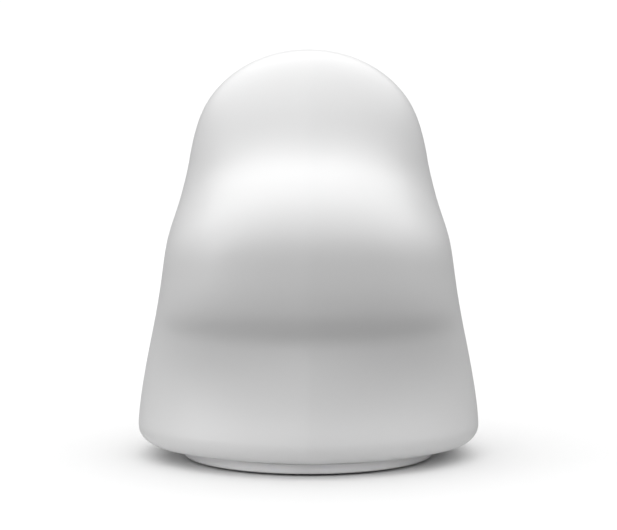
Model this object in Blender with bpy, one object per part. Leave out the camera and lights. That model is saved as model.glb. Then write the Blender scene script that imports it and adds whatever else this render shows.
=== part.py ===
"""Mesh wifi node: a tall one-lobed housing on a round glowing foot, with its boards, jacks and buttons.

Metres, +Z up. The front looks along -Y, the jacks face +Y, and the origin is on the surface that the node
stands on, under the middle of its foot.
"""
import math

import bmesh
import bpy
import numpy as np
from mathutils import Matrix, Vector

# --- housing ---------------------------------------------------------------------------------------------
HEIGHT = 0.1387
WIDTH = 0.1162              # across the skirt
SKIRT_LIFT = 0.0045         # underside of the housing above the table
EDGE_RADIUS = 0.007         # rounding round the housing's lower edge
CROWN_START = 0.1023        # height at which the dome begins to close
REAR_CROWN_START = 0.084
FRONT_CROWN_POWER = 2.6
REAR_CROWN_POWER = 2.0
REAR_SQUARENESS = 2.5
WALL = 0.0022
BROW_ARCH_POWER = 3.1       # how late the brow turns down towards the sides
KEEL_HEIGHT = 0.001         # soft ridge down the middle of the front
KEEL_WIDTH = 0.008
KEEL_SOFTNESS = 0.0008

# Against height: width as a share of the skirt's, front depth, how square the front is (2 is an ellipse),
# rear depth, and how far the brow sinks at the sides.
SIDE_LINE = [(0.004, 1.002), (0.0115, 1.0), (0.024, 0.976), (0.039, 0.929), (0.054, 0.879), (0.067, 0.846),
             (0.075, 0.822), (0.081, 0.791), (0.086, 0.762), (0.094, 0.7235), (0.102, 0.694), (0.111, 0.680),
             (0.121, 0.687), (0.139, 0.696)]
FRONT_DEPTH = [(0.004, 0.0500), (0.0115, 0.0505), (0.019, 0.0494), (0.029, 0.0482), (0.037, 0.0478),
               (0.042, 0.0479), (0.045, 0.0483), (0.0475, 0.0492), (0.0505, 0.0508), (0.0535, 0.0521),
               (0.057, 0.0530), (0.060, 0.0535), (0.064, 0.0539), (0.070, 0.0541), (0.075, 0.0540),
               (0.0795, 0.0534), (0.084, 0.0521), (0.0883, 0.0500), (0.092, 0.0473), (0.0955, 0.0438),
               (0.0985, 0.0400), (0.1013, 0.0358), (0.104, 0.0321), (0.1075, 0.0288), (0.113, 0.0258),
               (0.120, 0.0235), (0.128, 0.0212), (0.139, 0.0183)]
FRONT_SQUARENESS = [(0.004, 1.86), (0.034, 1.87), (0.054, 2.35), (0.072, 2.5), (0.088, 2.5), (0.099, 2.25),
                    (0.110, 2.05), (0.122, 2.0), (0.139, 2.0)]
REAR_DEPTH = [(0.004, 0.0543), (0.0115, 0.0547), (0.029, 0.0541), (0.049, 0.0519), (0.069, 0.0486),
              (0.089, 0.0441), (0.109, 0.0390), (0.124, 0.0361), (0.139, 0.0340)]
BROW_DROP = [(0.004, 0.0), (0.019, 0.0), (0.044, 0.0), (0.059, 0.003), (0.074, 0.009), (0.087, 0.0145),
             (0.099, 0.0173), (0.109, 0.016), (0.121, 0.008), (0.131, 0.002), (0.139, 0.0)]

SEAM_DEPTH = 0.014          # plane behind the middle where the two shells meet
LIP_REACH = 0.004           # how far the rear cover's lip goes inside the front shell
LIP_THICKNESS = 0.0012
VENT_COUNT = 7
VENT_LOWEST = 0.091
VENT_PITCH = 0.0052
VENT_HEIGHT = 0.0022
VENT_LONGEST = 0.044        # length of the lowest vent
VENT_SHORTENING = 0.0032    # each vent is this much shorter than the one below it

# --- clearances ------------------------------------------------------------------------------------------
GAP = 0.0003                # between any two pieces that rest on or sit in each other
BUTTON_GAP = 0.0006         # in front of a switch, more than the button's travel

# --- foot ------------------------------------------------------------------------------------------------
FOOT_RADIUS = 0.0425
FOOT_LIFT = 0.0008          # the foot's underside above the table, the pads' share
FOOT_EDGE = 0.0009
PLATE_THICKNESS = 0.0022
PLATE_RADIUS = 0.0377
RING_LEDGE = 0.0017         # how far the ring reaches in over the base plate
NECK_WIDTH = 0.0027
OPENING_RADIUS = 0.041      # hole in the housing's underside that the neck passes through
PAD_RADIUS = 0.006
PAD_THICKNESS = 0.0014
PAD_CIRCLE = 0.028
BASE_SCREW_PLACE = 0.020    # distance of each base screw from both middle planes
LIGHT_PIPE_RADIUS = 0.002
LIGHT_PIPE_CIRCLE = 0.038
SLOT_SIZE = (0.0018, 0.014)         # air slots in the base plate and the chassis
BASE_SLOT_PITCH = 0.0043
BASE_SLOT_PLACE = 0.0091            # distance of each fan of slots from the middle
CHASSIS_SLOT_PITCH = 0.0065
ROUND_END_MARGIN = 0.00001          # keeps the two rounded corners of a slot's end apart

# --- screws ----------------------------------------------------------------------------------------------
SHANK_RADIUS = 0.0012
PILOT_RADIUS = SHANK_RADIUS + GAP
HEAD_RADIUS = 0.0024
HEAD_HEIGHT = 0.0013
DRIVE_RADIUS = 0.0011
DRIVE_DEPTH = 0.0007
BOSS_WALL = 0.0016
BOSS_RADIUS = PILOT_RADIUS + BOSS_WALL

# --- chassis and main board ------------------------------------------------------------------------------
CHASSIS_HALF_WIDTH = 0.050
CHASSIS_HALF_DEPTH = 0.043
CHASSIS_THICKNESS = 0.002
BOARD_LIFT = 0.006          # board above the chassis plate
BOARD_THICKNESS = 0.0016
BOARD_HALF_WIDTH = 0.042
BOARD_FRONT = -0.030
BOARD_REAR = 0.038
BOARD_CORNER = 0.012
BOARD_SCREW_INSET = (0.0055, 0.0085)

CHIP_SIZE = (0.014, 0.014, 0.0012)
CHIP_PLACE = (0.0, -0.006)
THERMAL_PAD_THICKNESS = 0.0008
HEAT_SINK_SIZE = (0.044, 0.036, 0.040)
HEAT_SINK_BASE = 0.003
FIN_COUNT = 9
FIN_THICKNESS = 0.0014
SINK_SCREW_PLACE = (0.0185, 0.0145)
SHIELD_SIZE = (0.012, 0.025, 0.0032)
SHIELD_PLACE = (0.0315, -0.0045)
SHIELD_FOLD = 0.0004
TRANSFORMER_SIZE = (0.014, 0.0062, 0.004)
TRANSFORMER_DEPTH = 0.0165
CAPACITOR_RADIUS = 0.00315
CAPACITOR_HEIGHT = 0.0075
CAPACITOR_ROLL = 0.0004             # rounding of its can, and depth of the groove near its foot
CAPACITOR_GROOVE_HEIGHT = 0.0014
CAPACITOR_PLACES = [(-0.034, 0.0125), (-0.034, 0.0205), (-0.0265, 0.0205)]
LED_SIZE = (0.003, 0.003, 0.001)

# --- port bay --------------------------------------------------------------------------------------------
BAY_WIDTH = 0.063
BAY_BOTTOM = 0.0125
BAY_TOP = 0.0355
BAY_CORNER = 0.004
BAY_WALL = 0.0015
BAY_FLOOR = 0.0435          # depth of the recess floor, flush with the jacks' mouths
BAY_FLOOR_THICKNESS = 0.002
BAY_FLUSHNESS = 0.0002      # how far the bay's rim stays under the housing's surface

NETWORK_JACK_PLACES = {"wan": -0.0050, "lan": 0.0135}
NETWORK_JACK_SIZE = (0.016, 0.0215, 0.0135)
SOCKET_SIZE = (0.0122, 0.0160, 0.0084)
SOCKET_RAISE = 0.0016       # socket floor above the jack's underside
LATCH_SLOT = (0.0062, 0.0022)
CONTACT_TONGUE = (0.011, 0.0010)    # the contact block's length and height along the socket's floor
CONTACT_WALL = (0.0035, 0.002)      # its thickness at the back of the socket, below and above
POWER_JACK_X = -0.0245
POWER_JACK_SIZE = (0.009, 0.0145, 0.011)
POWER_HOLE_RADIUS = 0.0028
POWER_HOLE_DEPTH = 0.0095
POWER_PIN_RADIUS = 0.0009
POWER_PIN_INSET = 0.0015            # how far the pin ends inside the hole's mouth
RESET_X = -0.0160
RESET_PLUNGER_RADIUS = 0.0008
PINHOLE_RADIUS = 0.0011
SYNC_X = 0.0265
SYNC_BUTTON_RADIUS = 0.0028
SYNC_FLANGE = 0.0008
SYNC_PROUD = 0.0008
SYNC_ROLL = 0.0004
SYNC_PLUNGER_RADIUS = 0.0012
SWITCH_SIZE = (0.0046, 0.0055, 0.0062)
SWITCH_REAR = 0.037
BUTTON_HEIGHT = 0.0036      # button axes above the board

# --- antennas --------------------------------------------------------------------------------------------
ARCH_INSET = 0.009          # arch's outer line in from the housing's side outline
ARCH_BAND = 0.0020
ARCH_FRONT = -0.002
ARCH_REAR = 0.008
ARCH_FOOT_INNER = 0.030
ARCH_SCREW_X = 0.034
ANTENNA_THICKNESS = 0.0008
ANTENNA_WIDTH = 0.0095
SIDE_ANTENNA = (0.046, 0.034)       # height of its middle, length
TOP_ANTENNA = (44.0, 0.026)         # degrees up the dome's arc, length
ANTENNA_GAP = 0.0006
LEAD_RADIUS = 0.0006
LEAD_LANDING_X = 0.0400
LEAD_STANDS = 0.003         # each lead goes straight up this far, bends over, and meets the arch at its clip
LEAD_BENDS = 0.0065
LEAD_CLIP = 0.0107
LEAD_OVER_CROWN = 0.014     # how far above the dome's start the two upper leads end

# --- how finely round shapes are cut ---------------------------------------------------------------------
COLUMNS = 44
FOOT_SEGMENTS = 44
ROUND_SEGMENTS = 16
SMALL_SEGMENTS = 10
ARCH_SIDE_STEPS = 9
ARCH_DOME_STEPS = 8
SLICE_TOLERANCE = 0.0000001
SLOPE_STEP = 0.002          # how far apart two heights are for a slope between them
SKIN_STEP = 0.004           # the same for the housing's surface, in stations and in radians
TOP_STATION = 2.985         # above it the surface is taken as level with its top
FRONT_SPREAD = (0.62, 0.38)     # linear and cubic shares of how the columns spread from the front

# --- heights worked out from the sizes above --------------------------------------------------------------
PLATE_TOP = FOOT_LIFT + PLATE_THICKNESS
FLANGE_TOP = SKIRT_LIFT + WALL
RING_TOP = SKIRT_LIFT - GAP
CHASSIS_BOTTOM = FLANGE_TOP + GAP
CHASSIS_TOP = CHASSIS_BOTTOM + CHASSIS_THICKNESS
BOARD_BOTTOM = CHASSIS_TOP + BOARD_LIFT
BOARD_TOP = BOARD_BOTTOM + BOARD_THICKNESS
SEAT = BOARD_TOP + GAP      # underside of everything that stands on the board
BAY_MIDDLE = (BAY_BOTTOM + BAY_TOP) / 2
BUTTON_AXIS = BOARD_TOP + BUTTON_HEIGHT
LIGHT_PIPE_PLACE = LIGHT_PIPE_CIRCLE / math.sqrt(2)
CORNERS = [(-1, -1), (1, -1), (-1, 1), (1, 1)]
BOARD_SCREWS = [(side * (BOARD_HALF_WIDTH - BOARD_SCREW_INSET[0]),
                 (BOARD_FRONT + BOARD_SCREW_INSET[1]) if end < 0 else (BOARD_REAR - BOARD_SCREW_INSET[1]))
                for side, end in CORNERS]


# --- the housing's form -----------------------------------------------------------------------------------
def spline_through(points):
    """A natural cubic spline through (height, value) points, as a function of height."""
    knots = np.array([point[0] for point in points])
    values = np.array([point[1] for point in points])
    count = len(knots)
    steps = np.diff(knots)
    system = np.eye(count)
    right = np.zeros(count)
    for i in range(1, count - 1):
        system[i, i - 1:i + 2] = steps[i - 1], 2 * (steps[i - 1] + steps[i]), steps[i]
        right[i] = 6 * ((values[i + 1] - values[i]) / steps[i] - (values[i] - values[i - 1]) / steps[i - 1])
    bend = np.linalg.solve(system, right)

    def value(height):
        x = min(max(height, knots[0]), knots[-1])
        i = min(int(np.searchsorted(knots, x, side="right")) - 1, count - 2)
        above = knots[i + 1] - x
        below = x - knots[i]
        step = steps[i]
        return ((bend[i] * above ** 3 + bend[i + 1] * below ** 3) / (6 * step)
                + (values[i] / step - bend[i] * step / 6) * above
                + (values[i + 1] / step - bend[i + 1] * step / 6) * below)

    return value


side_line = spline_through(SIDE_LINE)
front_depth = spline_through(FRONT_DEPTH)
front_squareness = spline_through(FRONT_SQUARENESS)
rear_depth = spline_through(REAR_DEPTH)
brow_drop = spline_through(BROW_DROP)


def half_width(height):
    return WIDTH / 2 * side_line(height)


def crown(height, start, power):
    """1 below the dome's start, falling to 0 at the top as a superellipse does."""
    share = min(max((height - start) / (HEIGHT - start), 0.0), 1.0)
    return (1 - share ** power) ** (1 / power)


def station(rise):
    """Height and inset at a station: 0 to 1 round the lower edge, to 2 up the side, to 3 over the dome."""
    if rise <= 1:
        turn = math.radians(90 * rise)
        return SKIRT_LIFT + EDGE_RADIUS * (1 - math.cos(turn)), EDGE_RADIUS * (1 - math.sin(turn))
    if rise <= 2:
        low = SKIRT_LIFT + EDGE_RADIUS
        return low + (CROWN_START - low) * (rise - 1), 0.0
    return CROWN_START + (HEIGHT - CROWN_START) * math.sin(math.radians(90 * (rise - 2))), 0.0


def outside(angle, rise):
    """The point of the housing's outer surface at an angle, 0 at the front, and a station."""
    height, inset = station(rise)
    across = math.sin(angle)
    along = math.cos(angle)
    lowered = height - brow_drop(height) * abs(across) ** BROW_ARCH_POWER
    width = half_width(lowered) * crown(lowered, CROWN_START, 2.0)
    if along > 0:
        depth = front_depth(height) * crown(height, CROWN_START, FRONT_CROWN_POWER)
        power = front_squareness(height)
    else:
        depth = rear_depth(height) * crown(height, REAR_CROWN_START, REAR_CROWN_POWER)
        power = REAR_SQUARENESS
    reach = (abs(across) ** power + abs(along) ** power) ** (-1 / power)
    x = (width - inset) * across * reach
    y = -(depth - inset) * along * reach
    if along > 0:
        fade = crown(height, CROWN_START, 2.0) * along
        y -= KEEL_HEIGHT * math.exp(-math.hypot(x, KEEL_SOFTNESS) / KEEL_WIDTH) * fade
    return Vector((x, y, lowered))


def skin(angle, rise, depth):
    """The point that lies the given depth under the outer surface, measured square to it."""
    point = outside(angle, rise)
    if depth == 0:
        return point
    low = max(rise - SKIN_STEP, 0.0)
    high = min(rise + SKIN_STEP, TOP_STATION)
    up = outside(angle, high) - outside(angle, low)
    near = min(rise, TOP_STATION)
    round_way = outside(angle + SKIN_STEP, near) - outside(angle - SKIN_STEP, near)
    inward = up.cross(round_way).normalized()
    return point + inward * depth


def column_angles():
    """Angles round the housing, closer together at the front where the keel is."""
    quarter = COLUMNS // 4
    steps = [i / quarter for i in range(-quarter, quarter)]
    even, late = FRONT_SPREAD
    front = [math.radians(90) * (even * step + late * step ** 3) for step in steps]
    rear = [math.radians(90) * (2 + step) for step in steps]
    return front + rear


def stations(edge, side, dome):
    """Stations from the underside to near the top, with so many steps on each of the three stretches."""
    return ([i / edge for i in range(edge)] + [1 + i / side for i in range(side)]
            + [2 + i / dome for i in range(dome)])


STATIONS = stations(4, 19, 8)
INNER_STATIONS = stations(2, 13, 6)


def grid(bm, depth, stations):
    """Rings of vertices round the housing at a depth under its surface, and the vertex at its top."""
    rings = [[bm.verts.new(skin(angle, rise, depth)) for angle in column_angles()] for rise in stations]
    top = bm.verts.new((0, 0, HEIGHT - depth))
    return rings, top


def span(bm, lower, upper):
    """Faces between two closed rings of vertices."""
    for i in range(len(lower)):
        j = (i + 1) % len(lower)
        bm.faces.new((lower[i], lower[j], upper[j], upper[i]))


def close_top(bm, ring, top):
    for i in range(len(ring)):
        bm.faces.new((ring[i], ring[(i + 1) % len(ring)], top))


def housing_layer(outer_depth, inner_depth, outer_stations=INNER_STATIONS):
    """A closed layer of the housing between two depths, open underneath as the housing is."""
    bm = bmesh.new()
    outer, outer_top = grid(bm, outer_depth, outer_stations)
    inner, inner_top = grid(bm, inner_depth, INNER_STATIONS)
    rims = []
    for height in (SKIRT_LIFT + outer_depth, SKIRT_LIFT + inner_depth):
        radius = OPENING_RADIUS
        rims.append([bm.verts.new((radius * math.sin(angle), -radius * math.cos(angle), height))
                     for angle in column_angles()])
    for rings, top in ((outer, outer_top), (inner, inner_top)):
        for lower, upper in zip(rings, rings[1:]):
            span(bm, lower, upper)
        close_top(bm, rings[-1], top)
    span(bm, rims[0], outer[0])
    span(bm, rims[0], rims[1])
    span(bm, rims[1], inner[0])
    bmesh.ops.recalc_face_normals(bm, faces=bm.faces)
    return bm


def housing_solid(depth):
    """The housing as one solid lump, its surface the given depth in."""
    bm = bmesh.new()
    rings, top = grid(bm, depth, STATIONS)
    for lower, upper in zip(rings, rings[1:]):
        span(bm, lower, upper)
    close_top(bm, rings[-1], top)
    bm.faces.new(list(reversed(rings[0])))
    bmesh.ops.recalc_face_normals(bm, faces=bm.faces)
    return bm


def sliced(bm, planes):
    """A solid cut down to what lies behind every plane, each given as a point and an outward direction."""
    for point, outward in planes:
        everything = bm.verts[:] + bm.edges[:] + bm.faces[:]
        bmesh.ops.bisect_plane(bm, geom=everything, dist=SLICE_TOLERANCE, plane_co=point, plane_no=outward,
                               clear_outer=True)
        bmesh.ops.holes_fill(bm, edges=[edge for edge in bm.edges if edge.is_boundary], sides=0)
    bmesh.ops.recalc_face_normals(bm, faces=bm.faces)
    return bm


def behind(place):
    """The plane that keeps what is nearer the front than a place."""
    return (0, place, 0), (0, 1, 0)


def before(place):
    """The plane that keeps what is nearer the rear than a place."""
    return (0, place, 0), (0, -1, 0)


def above(height):
    """The plane that keeps what is above a height."""
    return (0, 0, height), (0, 0, -1)


# --- plain solids -----------------------------------------------------------------------------------------
def rounded_rectangle(width, height, radius, steps=4):
    """Outline of a rounded rectangle about the origin, anticlockwise."""
    outline = []
    for quarter, (side, end) in enumerate([(1, 1), (-1, 1), (-1, -1), (1, -1)]):
        for i in range(steps + 1):
            angle = math.radians(90 * (quarter + i / steps))
            outline.append((side * (width / 2 - radius) + radius * math.cos(angle),
                            end * (height / 2 - radius) + radius * math.sin(angle)))
    return outline


def circle(radius, segments):
    return [(radius * math.cos(math.tau * i / segments), radius * math.sin(math.tau * i / segments))
            for i in range(segments)]


def moved(outline, x, y):
    return [(point[0] + x, point[1] + y) for point in outline]


def prism(outline, low, high, along="Z"):
    """A straight prism on an outline. Along Y the outline is read as (x, z)."""
    bm = bmesh.new()
    ends = []
    for place in (low, high):
        if along == "Z":
            ends.append([bm.verts.new((x, y, place)) for x, y in outline])
        else:
            ends.append([bm.verts.new((x, place, z)) for x, z in outline])
    bm.faces.new(ends[0])
    bm.faces.new(ends[1])
    span(bm, ends[0], ends[1])
    bmesh.ops.recalc_face_normals(bm, faces=bm.faces)
    return bm


def block(low, high):
    """A box between two corners."""
    bm = bmesh.new()
    size = [high[i] - low[i] for i in range(3)]
    middle = [(high[i] + low[i]) / 2 for i in range(3)]
    matrix = Matrix.Translation(middle) @ Matrix.Diagonal((*size, 1))
    bmesh.ops.create_cube(bm, size=1, matrix=matrix)
    return bm


def standing_block(size, place, low):
    """A box of a size, centred on a place, that stands at a height."""
    return block((place[0] - size[0] / 2, place[1] - size[1] / 2, low),
                 (place[0] + size[0] / 2, place[1] + size[1] / 2, low + size[2]))


def turned(profile, segments):
    """A solid of revolution about Z from (radius, height) points, closed where they reach the axis."""
    bm = bmesh.new()
    rings = []
    for radius, height in profile:
        if radius == 0:
            rings.append([bm.verts.new((0, 0, height))])
        else:
            rings.append([bm.verts.new((x, y, height)) for x, y in circle(radius, segments)])
    pairs = list(zip(rings, rings[1:]))
    if len(rings[0]) > 1:
        pairs.append((rings[-1], rings[0]))
    for first, second in pairs:
        if len(first) == 1:
            close_top(bm, second, first[0])
        elif len(second) == 1:
            close_top(bm, first, second[0])
        else:
            span(bm, first, second)
    bmesh.ops.recalc_face_normals(bm, faces=bm.faces)
    return bm


def joined(*pieces):
    """Several solids in one mesh, for a cutter."""
    bm = bmesh.new()
    for piece in pieces:
        mesh = bpy.data.meshes.new("piece")
        piece.to_mesh(mesh)
        piece.free()
        bm.from_mesh(mesh)
        bpy.data.meshes.remove(mesh)
    return bm


def placed(bm, matrix):
    bm.transform(matrix)
    return bm


def facing_back(bm, x, y, z):
    """Lay a solid that was turned about +Z along +Y, its height zero at the given point."""
    return placed(bm, Matrix.Translation((x, y, z)) @ Matrix.Rotation(math.radians(-90), 4, "X"))


# --- objects, finishes and cuts ---------------------------------------------------------------------------
FINISHES = {
    "white_shell": ((0.87, 0.87, 0.87), 0.42, 0.0),
    "bay_white": ((0.80, 0.80, 0.80), 0.5, 0.0),
    "frosted_ring": ((0.90, 0.91, 0.92), 0.55, 0.0),
    "pale_base": ((0.78, 0.78, 0.79), 0.6, 0.0),
    "grey_rubber": ((0.33, 0.33, 0.34), 0.9, 0.0),
    "screw_steel": ((0.55, 0.55, 0.57), 0.35, 1.0),
    "chassis_plastic": ((0.16, 0.16, 0.17), 0.6, 0.0),
    "board_green": ((0.04, 0.20, 0.10), 0.45, 0.0),
    "chip_black": ((0.03, 0.03, 0.03), 0.5, 0.0),
    "thermal_grey": ((0.45, 0.52, 0.58), 0.85, 0.0),
    "sink_aluminium": ((0.70, 0.71, 0.72), 0.4, 1.0),
    "shield_steel": ((0.72, 0.72, 0.70), 0.35, 1.0),
    "can_aluminium": ((0.66, 0.67, 0.70), 0.3, 1.0),
    "led_white": ((0.95, 0.93, 0.80), 0.4, 0.0),
    "jack_black": ((0.05, 0.05, 0.05), 0.5, 0.0),
    "lead_black": ((0.06, 0.06, 0.06), 0.6, 0.0),
}


def finish(name):
    """The material of a finish, made on first use."""
    if name in bpy.data.materials:
        return bpy.data.materials[name]
    colour, roughness, metallic = FINISHES[name]
    material = bpy.data.materials.new(name)
    material.use_nodes = True
    shader = material.node_tree.nodes["Principled BSDF"]
    shader.inputs["Base Color"].default_value = (*colour, 1)
    shader.inputs["Roughness"].default_value = roughness
    shader.inputs["Metallic"].default_value = metallic
    return material


def add_object(name, bm):
    mesh = bpy.data.meshes.new(name)
    bm.to_mesh(mesh)
    bm.free()
    item = bpy.data.objects.new(name, mesh)
    bpy.context.scene.collection.objects.link(item)
    return item


def piece(name, bm, finish_name, place=(0, 0, 0), smooth=True):
    """A named sub-part with its finish, at its place."""
    item = add_object(name, bm)
    item.data.materials.append(finish(finish_name))
    item.location = place
    if smooth:
        item.data.shade_smooth()
        item.data.set_sharp_from_angle(angle=math.radians(35))
    return item


def cut(target, tool_bm, operation="DIFFERENCE"):
    """Change a sub-part by a hidden tool solid."""
    tool = add_object(f"{target.name}_tool_{len(target.modifiers) + 1}", tool_bm)
    tool.hide_render = True
    tool.display_type = "WIRE"
    change = target.modifiers.new(operation.lower(), "BOOLEAN")
    change.operation = operation
    change.solver = "EXACT"
    change.object = tool
    return target


# --- shells -----------------------------------------------------------------------------------------------
def bay_outline(margin):
    """The port bay's outline in (x, z), grown by a margin."""
    height = BAY_TOP - BAY_BOTTOM
    outline = rounded_rectangle(BAY_WIDTH + 2 * margin, height + 2 * margin, BAY_CORNER + margin)
    return moved(outline, 0, BAY_MIDDLE)


def vent_tools():
    """One long rounded prism for each vent slot, shorter towards the top."""
    tools = []
    for i in range(VENT_COUNT):
        length = VENT_LONGEST - VENT_SHORTENING * i
        outline = rounded_rectangle(length, VENT_HEIGHT, VENT_HEIGHT / 2 - ROUND_END_MARGIN, steps=2)
        height = VENT_LOWEST + VENT_PITCH * i
        tools.append(prism(moved(outline, 0, height), SEAM_DEPTH + 2 * LIP_REACH, 2 * BAY_FLOOR, "Y"))
    return joined(*tools)


def make_front_shell():
    wall = housing_layer(0, WALL, STATIONS)
    piece("front_shell", sliced(wall, [behind(SEAM_DEPTH - GAP / 2)]), "white_shell")


def make_rear_cover():
    """The rear shell, with the lip that locates it inside the front shell, its vents and the bay's window."""
    rear_face = SEAM_DEPTH + GAP / 2
    cover = piece("rear_cover", sliced(housing_layer(0, WALL, STATIONS), [before(rear_face)]), "white_shell")
    lip_inner = WALL + GAP + LIP_THICKNESS
    lip_bottom = above(CHASSIS_TOP + LIP_REACH)
    root = sliced(housing_layer(WALL / 2, lip_inner + GAP),
                  [before(rear_face + GAP), behind(SEAM_DEPTH + LIP_REACH), lip_bottom])
    lip = sliced(housing_layer(WALL + GAP, lip_inner),
                 [before(SEAM_DEPTH - LIP_REACH), behind(SEAM_DEPTH + LIP_REACH / 2), lip_bottom])
    cut(cover, root, "UNION")
    cut(cover, lip, "UNION")
    cut(cover, vent_tools())
    cut(cover, prism(bay_outline(GAP), SEAM_DEPTH + 2 * LIP_REACH, 2 * BAY_FLOOR, "Y"))


# --- foot -------------------------------------------------------------------------------------------------
def light_pipe_places():
    return [(side * LIGHT_PIPE_PLACE, end * LIGHT_PIPE_PLACE) for side, end in CORNERS]


def make_light_ring():
    """The frosted foot rim, with its neck and the four light pipes that stand under the board's lamps."""
    seat = PLATE_RADIUS + GAP
    neck = OPENING_RADIUS - GAP
    ledge = PLATE_TOP + GAP
    profile = [(seat, FOOT_LIFT), (FOOT_RADIUS - FOOT_EDGE, FOOT_LIFT), (FOOT_RADIUS, FOOT_LIFT + FOOT_EDGE),
               (FOOT_RADIUS, RING_TOP - FOOT_EDGE / 2), (FOOT_RADIUS - FOOT_EDGE / 2, RING_TOP),
               (neck, RING_TOP), (neck, FLANGE_TOP), (neck - NECK_WIDTH, FLANGE_TOP),
               (neck - NECK_WIDTH, RING_TOP), (seat - RING_LEDGE, RING_TOP), (seat - RING_LEDGE, ledge),
               (seat, ledge)]
    ring = piece("light_ring", turned(profile, FOOT_SEGMENTS), "frosted_ring")
    pipe_top = BOARD_BOTTOM - 2 * GAP - LED_SIZE[2]
    pipes = [prism(moved(circle(LIGHT_PIPE_RADIUS, SMALL_SEGMENTS), x, y), (ledge + RING_TOP) / 2, pipe_top)
             for x, y in light_pipe_places()]
    cut(ring, joined(*pipes), "UNION")


def pad_places():
    return [(PAD_CIRCLE, 0), (0, PAD_CIRCLE), (-PAD_CIRCLE, 0), (0, -PAD_CIRCLE)]


def base_screw_places():
    return [(side * BASE_SCREW_PLACE, end * BASE_SCREW_PLACE) for side, end in CORNERS]


def counterbore_floor():
    """Height that a base screw's head is let in to."""
    return FOOT_LIFT + HEAD_HEIGHT - GAP


def air_slot():
    return rounded_rectangle(*SLOT_SIZE, SLOT_SIZE[0] / 2 - ROUND_END_MARGIN, steps=1)


def make_base_plate():
    """The foot's floor: a disc with screw holes, pad recesses and two fans of air slots."""
    plate = piece("base_plate", prism(circle(PLATE_RADIUS, FOOT_SEGMENTS), FOOT_LIFT, PLATE_TOP), "pale_base")
    tools = []
    floor = counterbore_floor()
    bore = [(0, -GAP), (HEAD_RADIUS + GAP, -GAP), (HEAD_RADIUS + GAP, floor), (PILOT_RADIUS, floor),
            (PILOT_RADIUS, 2 * PLATE_TOP), (0, 2 * PLATE_TOP)]
    for x, y in base_screw_places():
        tools.append(placed(turned(bore, SMALL_SEGMENTS), Matrix.Translation((x, y, 0))))
    for x, y in pad_places():
        recess = circle(PAD_RADIUS + GAP, ROUND_SEGMENTS)
        tools.append(prism(moved(recess, x, y), -GAP, PAD_THICKNESS + GAP))
    for side in (-1, 1):
        for i in range(-2, 3):
            slot = moved(air_slot(), BASE_SLOT_PITCH * i, side * BASE_SLOT_PLACE)
            tools.append(prism(slot, -GAP, 2 * PLATE_TOP))
    cut(plate, joined(*tools))


def make_foot_pads():
    for number, (x, y) in enumerate(pad_places(), 1):
        pad = prism(circle(PAD_RADIUS, ROUND_SEGMENTS), 0, PAD_THICKNESS)
        piece(f"foot_pad_{number}", pad, "grey_rubber", (x, y, 0))


def screw(length):
    """A pan-head screw along +Z with its head's underside at height 0, and a dimpled drive in its head."""
    drive_floor = HEAD_HEIGHT - DRIVE_DEPTH
    profile = [(0, -length), (SHANK_RADIUS / 2, -length), (SHANK_RADIUS, -length + SHANK_RADIUS),
               (SHANK_RADIUS, 0), (HEAD_RADIUS, 0), (HEAD_RADIUS, HEAD_HEIGHT / 2),
               ((HEAD_RADIUS + DRIVE_RADIUS) / 2, HEAD_HEIGHT), (DRIVE_RADIUS, HEAD_HEIGHT),
               (DRIVE_RADIUS / 2, drive_floor), (0, drive_floor)]
    return turned(profile, SMALL_SEGMENTS)


def base_screw_length():
    return CHASSIS_TOP - counterbore_floor()


def make_base_screws():
    """Four screws, heads down, that hold the base plate and the ring up to the chassis."""
    for number, (x, y) in enumerate(base_screw_places(), 1):
        upside_down = Matrix.Rotation(math.radians(180), 4, "X")
        piece(f"base_screw_{number}", placed(screw(base_screw_length()), upside_down), "screw_steel",
              (x, y, counterbore_floor() - GAP))


# --- chassis and main board -------------------------------------------------------------------------------
def post(low, high, x, y, radius=BOSS_RADIUS):
    return prism(moved(circle(radius, SMALL_SEGMENTS), x, y), low, high)


def make_chassis():
    """The inner plate on the housing's flange: bosses below for the foot, posts above for the board."""
    outline = [(CHASSIS_HALF_WIDTH * x, CHASSIS_HALF_DEPTH * y) for x, y in circle(1.0, FOOT_SEGMENTS)]
    chassis = piece("chassis", prism(outline, CHASSIS_BOTTOM, CHASSIS_TOP), "chassis_plastic")
    overlap = CHASSIS_THICKNESS / 2
    bosses = [post(PLATE_TOP + GAP, CHASSIS_BOTTOM + overlap, x, y) for x, y in base_screw_places()]
    bosses += [post(CHASSIS_TOP - overlap, BOARD_BOTTOM - GAP, x, y) for x, y in BOARD_SCREWS]
    bosses += [post(RING_TOP + GAP, CHASSIS_BOTTOM + overlap, side * ARCH_SCREW_X, arch_middle())
               for side in (-1, 1)]
    cut(chassis, joined(*bosses), "UNION")
    holes = [post(0, 2 * CHASSIS_TOP, x, y, PILOT_RADIUS) for x, y in base_screw_places()]
    holes += [post(CHASSIS_BOTTOM + overlap, 2 * BOARD_TOP, x, y, PILOT_RADIUS) for x, y in BOARD_SCREWS]
    holes += [post(0, 2 * CHASSIS_TOP, side * ARCH_SCREW_X, arch_middle(), PILOT_RADIUS) for side in (-1, 1)]
    holes += [post(0, 2 * CHASSIS_TOP, x, y, LIGHT_PIPE_RADIUS + 2 * GAP) for x, y in light_pipe_places()]
    for side in (-1, 1):
        for i in range(-1, 2):
            slot = moved(air_slot(), CHASSIS_SLOT_PITCH * i, side * SLOT_SIZE[1])
            holes.append(prism(slot, 0, 2 * CHASSIS_TOP))
    cut(chassis, joined(*holes))


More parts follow.
